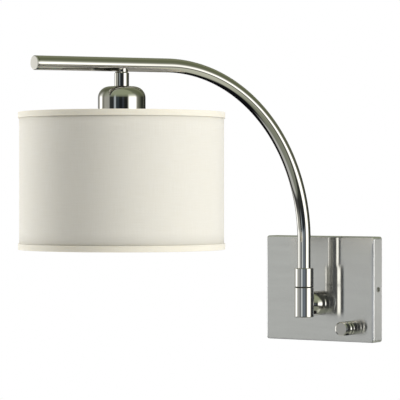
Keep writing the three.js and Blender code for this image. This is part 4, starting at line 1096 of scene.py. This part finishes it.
# %% [markdown]
# ## Light
#
# Polished metal shows nothing but its surroundings, so lighting it means building the room that it reflects.
# The room could be modelled, but here it is drawn in the world shader, which is quicker to render and has no
# noise. It is a few strips of colour over the compass. Angle 0 is where the camera stands, and the angle
# grows to the right as the camera sees it. The horizon lies level with the lamp: a wide white screen on the
# right, a narrow one on the left and towards the wall, and dark cloth between. The ceiling is grey-green. The
# ground is a pale floor in front and at the sides and dark towards the wall. Low in front, just below eye
# level, stand pale tables.

# %% The room that metal reflects
world = bpy.data.worlds.new("studio")
bpy.context.scene.world = world
world.use_nodes = True
world.cycles.sampling_method = "NONE"
tree = world.node_tree
tree.nodes.clear()
CAMERA_SIDE = math.radians(90) - CAMERA_YAW
BRIGHTEST = 2.6  # a ramp holds colours from 0 to 1, so they are written as shares of this

way = node(tree, "TexCoord")
turned_way = node(tree, "Mapping", {
    "Vector": way.outputs["Generated"], "Rotation": (0, 0, CAMERA_SIDE)}, vector_type="VECTOR")
parts = node(tree, "SeparateXYZ", {"Vector": turned_way.outputs[0]})
compass = node(tree, "Math", {0: parts.outputs[1], 1: parts.outputs[0]}, operation="ARCTAN2")
climb = node(tree, "Math", {0: parts.outputs[2]}, operation="ARCSINE")
COMPASS = (compass.outputs[0], -180, 180)
CLIMB = (climb.outputs[0], -90, 90)


def strip_of_colours(angle, low, high, stops):
    """A colour ramp over an angle from low to high degrees. Each stop is (degrees, red, green, blue)."""
    share = node(tree, "MapRange", {
        "Value": angle, "From Min": math.radians(low), "From Max": math.radians(high)})
    ramp = node(tree, "ValToRGB", {"Fac": share.outputs[0]})
    elements = ramp.color_ramp.elements
    for index, (degrees, *colour) in enumerate(stops):
        spot = (degrees - low) / (high - low)
        element = elements[index] if index < 2 else elements.new(spot)
        element.position = spot
        element.color = (*(c / BRIGHTEST for c in colour), 1)
    return ramp.outputs[0]


horizon = strip_of_colours(*COMPASS, [
    (-180, 0.03, 0.03, 0.03), (-150, 0.30, 0.30, 0.29), (-133, 0.60, 0.60, 0.59),
    (-125, 2.0, 2.0, 2.0), (-113, 2.0, 2.0, 1.97), (-108, 1.08, 1.08, 1.05), (-104, 0.36, 0.36, 0.33),
    (-97, 0.24, 0.24, 0.22), (-88, 0.50, 0.50, 0.46),
    (-62, 0.46, 0.47, 0.45), (-57, 0.04, 0.045, 0.045), (-38, 0.03, 0.035, 0.04),
    (-34, 0.50, 0.56, 0.62), (-28, 0.56, 0.62, 0.68), (-25, 0.05, 0.06, 0.07),
    (-13, 0.04, 0.055, 0.07), (-8, 0.012, 0.014, 0.018), (3, 0.012, 0.014, 0.02), (7, 0.05, 0.06, 0.08),
    (12, 0.04, 0.045, 0.055), (17, 0.012, 0.013, 0.014), (30, 0.02, 0.021, 0.02), (35, 0.80, 0.80, 0.77),
    (39, 2.0, 2.0, 1.97), (72, 2.2, 2.2, 2.16), (76, 1.6, 1.6, 1.56), (80, 0.55, 0.55, 0.51),
    (85, 0.33, 0.33, 0.29), (92, 0.20, 0.21, 0.165), (112, 0.04, 0.045, 0.035),
    (165, 0.015, 0.015, 0.015)])
ceiling = strip_of_colours(*COMPASS, [
    (-180, 0.27, 0.29, 0.19), (-140, 0.14, 0.15, 0.10), (-115, 0.14, 0.15, 0.10),
    (-92, 0.30, 0.32, 0.25), (-70, 0.42, 0.45, 0.37), (-45, 0.38, 0.42, 0.30), (60, 0.38, 0.42, 0.29),
    (76, 0.20, 0.22, 0.15), (110, 0.17, 0.19, 0.11), (130, 0.24, 0.26, 0.17), (180, 0.27, 0.29, 0.19)])
ground = strip_of_colours(*COMPASS, [
    (-180, 0.006, 0.006, 0.008), (-108, 0.006, 0.006, 0.008), (-98, 0.62, 0.63, 0.62),
    (-54, 0.62, 0.63, 0.62), (-44, 0.28, 0.30, 0.26), (38, 0.30, 0.32, 0.25), (70, 0.70, 0.72, 0.62),
    (132, 0.60, 0.62, 0.52), (142, 0.006, 0.006, 0.008), (180, 0.006, 0.006, 0.008)])
low_front = strip_of_colours(*COMPASS, [
    (-165, 0.30, 0.31, 0.31), (-154, 0.44, 0.45, 0.45), (-124, 0.75, 0.76, 0.75), (-115, 1.3, 1.3, 1.3),
    (-108, 2.0, 2.0, 2.0), (-95, 2.0, 2.0, 2.0), (-88, 0.55, 0.56, 0.55), (-82, 0.46, 0.47, 0.46),
    (-66, 0.49, 0.50, 0.50), (-56, 0.35, 0.36, 0.37), (-40, 0.17, 0.19, 0.20), (-34, 0.86, 0.91, 0.96),
    (-27, 0.90, 0.96, 1.02), (-22, 0.40, 0.44, 0.49), (-17, 0.34, 0.39, 0.44), (-8, 0.13, 0.16, 0.20),
    (-3, 0.15, 0.18, 0.23), (5, 0.24, 0.28, 0.34), (10, 0.22, 0.26, 0.31), (15, 0.09, 0.10, 0.11),
    (21, 0.10, 0.11, 0.12), (30, 0.36, 0.37, 0.38)])
print("strips of colour:", sum(n.type == "VALTORGB" for n in tree.nodes))

# %% [markdown]
# Five weights say how much of each strip is seen at each height: rise brings in the ceiling, fall brings in
# what is below, floor_band keeps the floor to a band, and below_eye and in_front place the tables. A second
# reflection shows little of the ceiling and the tables, because there one part of the lamp stands in the
# other's way.

# %% How the strips make one room
NIGHT = (0.003, 0.003, 0.004, 1)
SECOND_MIRROR = 0.08  # how much a second reflection shows of the ceiling and the tables


def strength(angle, low, high, *stops):
    """A ramp that is only a weight. Each stop is (degrees, weight)."""
    greys = [(degrees, *[weight * BRIGHTEST] * 3) for degrees, weight in stops]
    return strip_of_colours(angle, low, high, greys)


rise = strength(
    *CLIMB, (-90, 0), (1, 0), (5, 0.05), (9, 0.35), (13, 0.56), (21, 0.79), (30, 0.93), (38, 1), (90, 1))
fall = strength(*CLIMB, (-90, 1), (-19, 1), (-11, 0), (90, 0))
floor_band = strength(*CLIMB, (-90, 0), (-78, 0), (-66, 1), (-28, 1), (-24, 0.12), (-18, 0.12), (90, 0))
below_eye = strength(*CLIMB, (-90, 0), (-7, 0), (-5, 1), (-1.6, 1), (0, 0), (90, 0))
in_front = strength(*COMPASS, (-172, 0), (-160, 1), (28, 1), (34, 0))
ray = node(tree, "LightPath")
first_mirror = node(tree, "MapRange", {
    "Value": ray.outputs["Glossy Depth"], "From Min": 1.4, "From Max": 1.6, "To Min": 1.0,
    "To Max": SECOND_MIRROR})
table_place = node(tree, "Math", {0: in_front, 1: below_eye}, operation="MULTIPLY")
table_share = node(tree, "Math", {
    0: table_place.outputs[0], 1: first_mirror.outputs[0]}, operation="MULTIPLY")
level = node(tree, "Mix", {
    "Factor": table_share.outputs[0], COLOUR_A: horizon, COLOUR_B: low_front}, data_type="RGBA")
overhead = node(tree, "Mix", {
    "Factor": first_mirror.outputs[0], COLOUR_A: NIGHT, COLOUR_B: ceiling}, data_type="RGBA")
upper = node(tree, "Mix", {
    "Factor": rise, COLOUR_A: level.outputs[MIXED], COLOUR_B: overhead.outputs[MIXED]}, data_type="RGBA")
lower = node(tree, "Mix", {
    "Factor": floor_band, COLOUR_A: NIGHT, COLOUR_B: ground}, data_type="RGBA")
room = node(tree, "Mix", {
    "Factor": fall, COLOUR_A: upper.outputs[MIXED], COLOUR_B: lower.outputs[MIXED]}, data_type="RGBA")
print("nodes that draw the room:", len(tree.nodes))

# %% [markdown]
# Cloth gets its light from two large soft lamps and an even fill instead, so its brightness can be set
# without changing a reflection. The fill comes from the camera's side, and grows towards straight up and
# straight down. The camera itself sees plain white.

# %% Soft light for cloth
FILL_FRONT, FILL_BACK, FILL_UPRIGHT = 0.52, 0.0, 0.8
FILL_EDGE = -0.2  # how far round to the wall's side the fill reaches, as a cosine
from_front = node(tree, "MapRange", {
    "Value": parts.outputs[0], "From Min": FILL_EDGE, "From Max": 1.0, "To Min": FILL_BACK,
    "To Max": FILL_FRONT})
steepness = node(tree, "Math", {0: parts.outputs[2], 1: parts.outputs[2]}, operation="MULTIPLY")
evenly = node(tree, "Math", {
    0: steepness.outputs[0], 1: FILL_UPRIGHT, 2: from_front.outputs[0]}, operation="MULTIPLY_ADD")
reflected = node(tree, "Background", {"Color": room.outputs[MIXED], "Strength": BRIGHTEST})
fill = node(tree, "Background", {"Color": (1, 0.995, 0.985, 1), "Strength": evenly.outputs[0]})
white = node(tree, "Background", {"Color": (1, 1, 1, 1), "Strength": 1.0})
matt_or_mirror = node(tree, "MixShader", {
    0: ray.outputs["Is Diffuse Ray"], 1: reflected.outputs[0], 2: fill.outputs[0]})
seen = node(tree, "MixShader", {
    0: ray.outputs["Is Camera Ray"], 1: matt_or_mirror.outputs[0], 2: white.outputs[0]})
node(tree, "OutputWorld", {"Surface": seen.outputs[0]})


def soft_lamp(name, compass_degrees, climb_degrees, distance, size, power):
    """A square area light at a compass angle from the camera, aimed at the shade's middle. It lights matt
    surfaces only. distance and size are in metres and power is in watts."""
    away = math.radians(compass_degrees) - CAMERA_SIDE
    rise = math.radians(climb_degrees)
    way = Vector((math.cos(away) * math.cos(rise), math.sin(away) * math.cos(rise), math.sin(rise)))
    target = Vector((HOLDER[0] + (SHADE_TOP + SHADE_BOTTOM) / 2 * UP) * MM)
    lamp = bpy.data.objects.new(name, bpy.data.lights.new(name, "AREA"))
    lamp.data.energy = power
    lamp.data.size = size
    lamp.location = target + way * distance
    lamp.rotation_euler = (-way).to_track_quat("-Z", "Y").to_euler()
    lamp.visible_glossy = False
    lamp.visible_camera = False
    bpy.context.scene.collection.objects.link(lamp)


soft_lamp("key_screen", compass_degrees=68, climb_degrees=12, distance=3.0, size=1.6, power=68)
soft_lamp("rim_screen", compass_degrees=-115, climb_degrees=5, distance=3.0, size=1.4, power=84)

# %% [markdown]
# ## Floor
#
# The lamp hangs on a wall, so the floor is far below it. It is a plain pale disc that only the camera sees,
# so it adds no light to the cloth and no reflection to the metal.

# %% Floor
FLOOR_RADIUS, FLOOR_Z = 12.0, -1.5  # metres
angle = np.linspace(0, 2 * math.pi, 96, endpoint=False)
rim = FLOOR_RADIUS * np.column_stack([np.cos(angle), np.sin(angle), 0 * angle])
points, faces, _ = grid_patch(np.stack([rim, 0 * rim]) + np.array([0, 0, FLOOR_Z]))
floor_mesh = bpy.data.meshes.new("floor")
floor_mesh.from_pydata(points.tolist(), [], faces.tolist())
close_and_turn(floor_mesh)
floor = bpy.data.objects.new("floor", floor_mesh)
bpy.context.scene.collection.objects.link(floor)
floor_paint, _, _ = begin_material(
    "pale floor paint", Base_Color=linear("#E4E4E2"), Roughness=0.9,
    Emission_Color=linear("#F2F2F0"), Emission_Strength=0.4)
floor_mesh.materials.append(floor_paint)
for ray_kind in ("visible_diffuse", "visible_glossy", "visible_transmission", "visible_shadow"):
    setattr(floor, ray_kind, False)
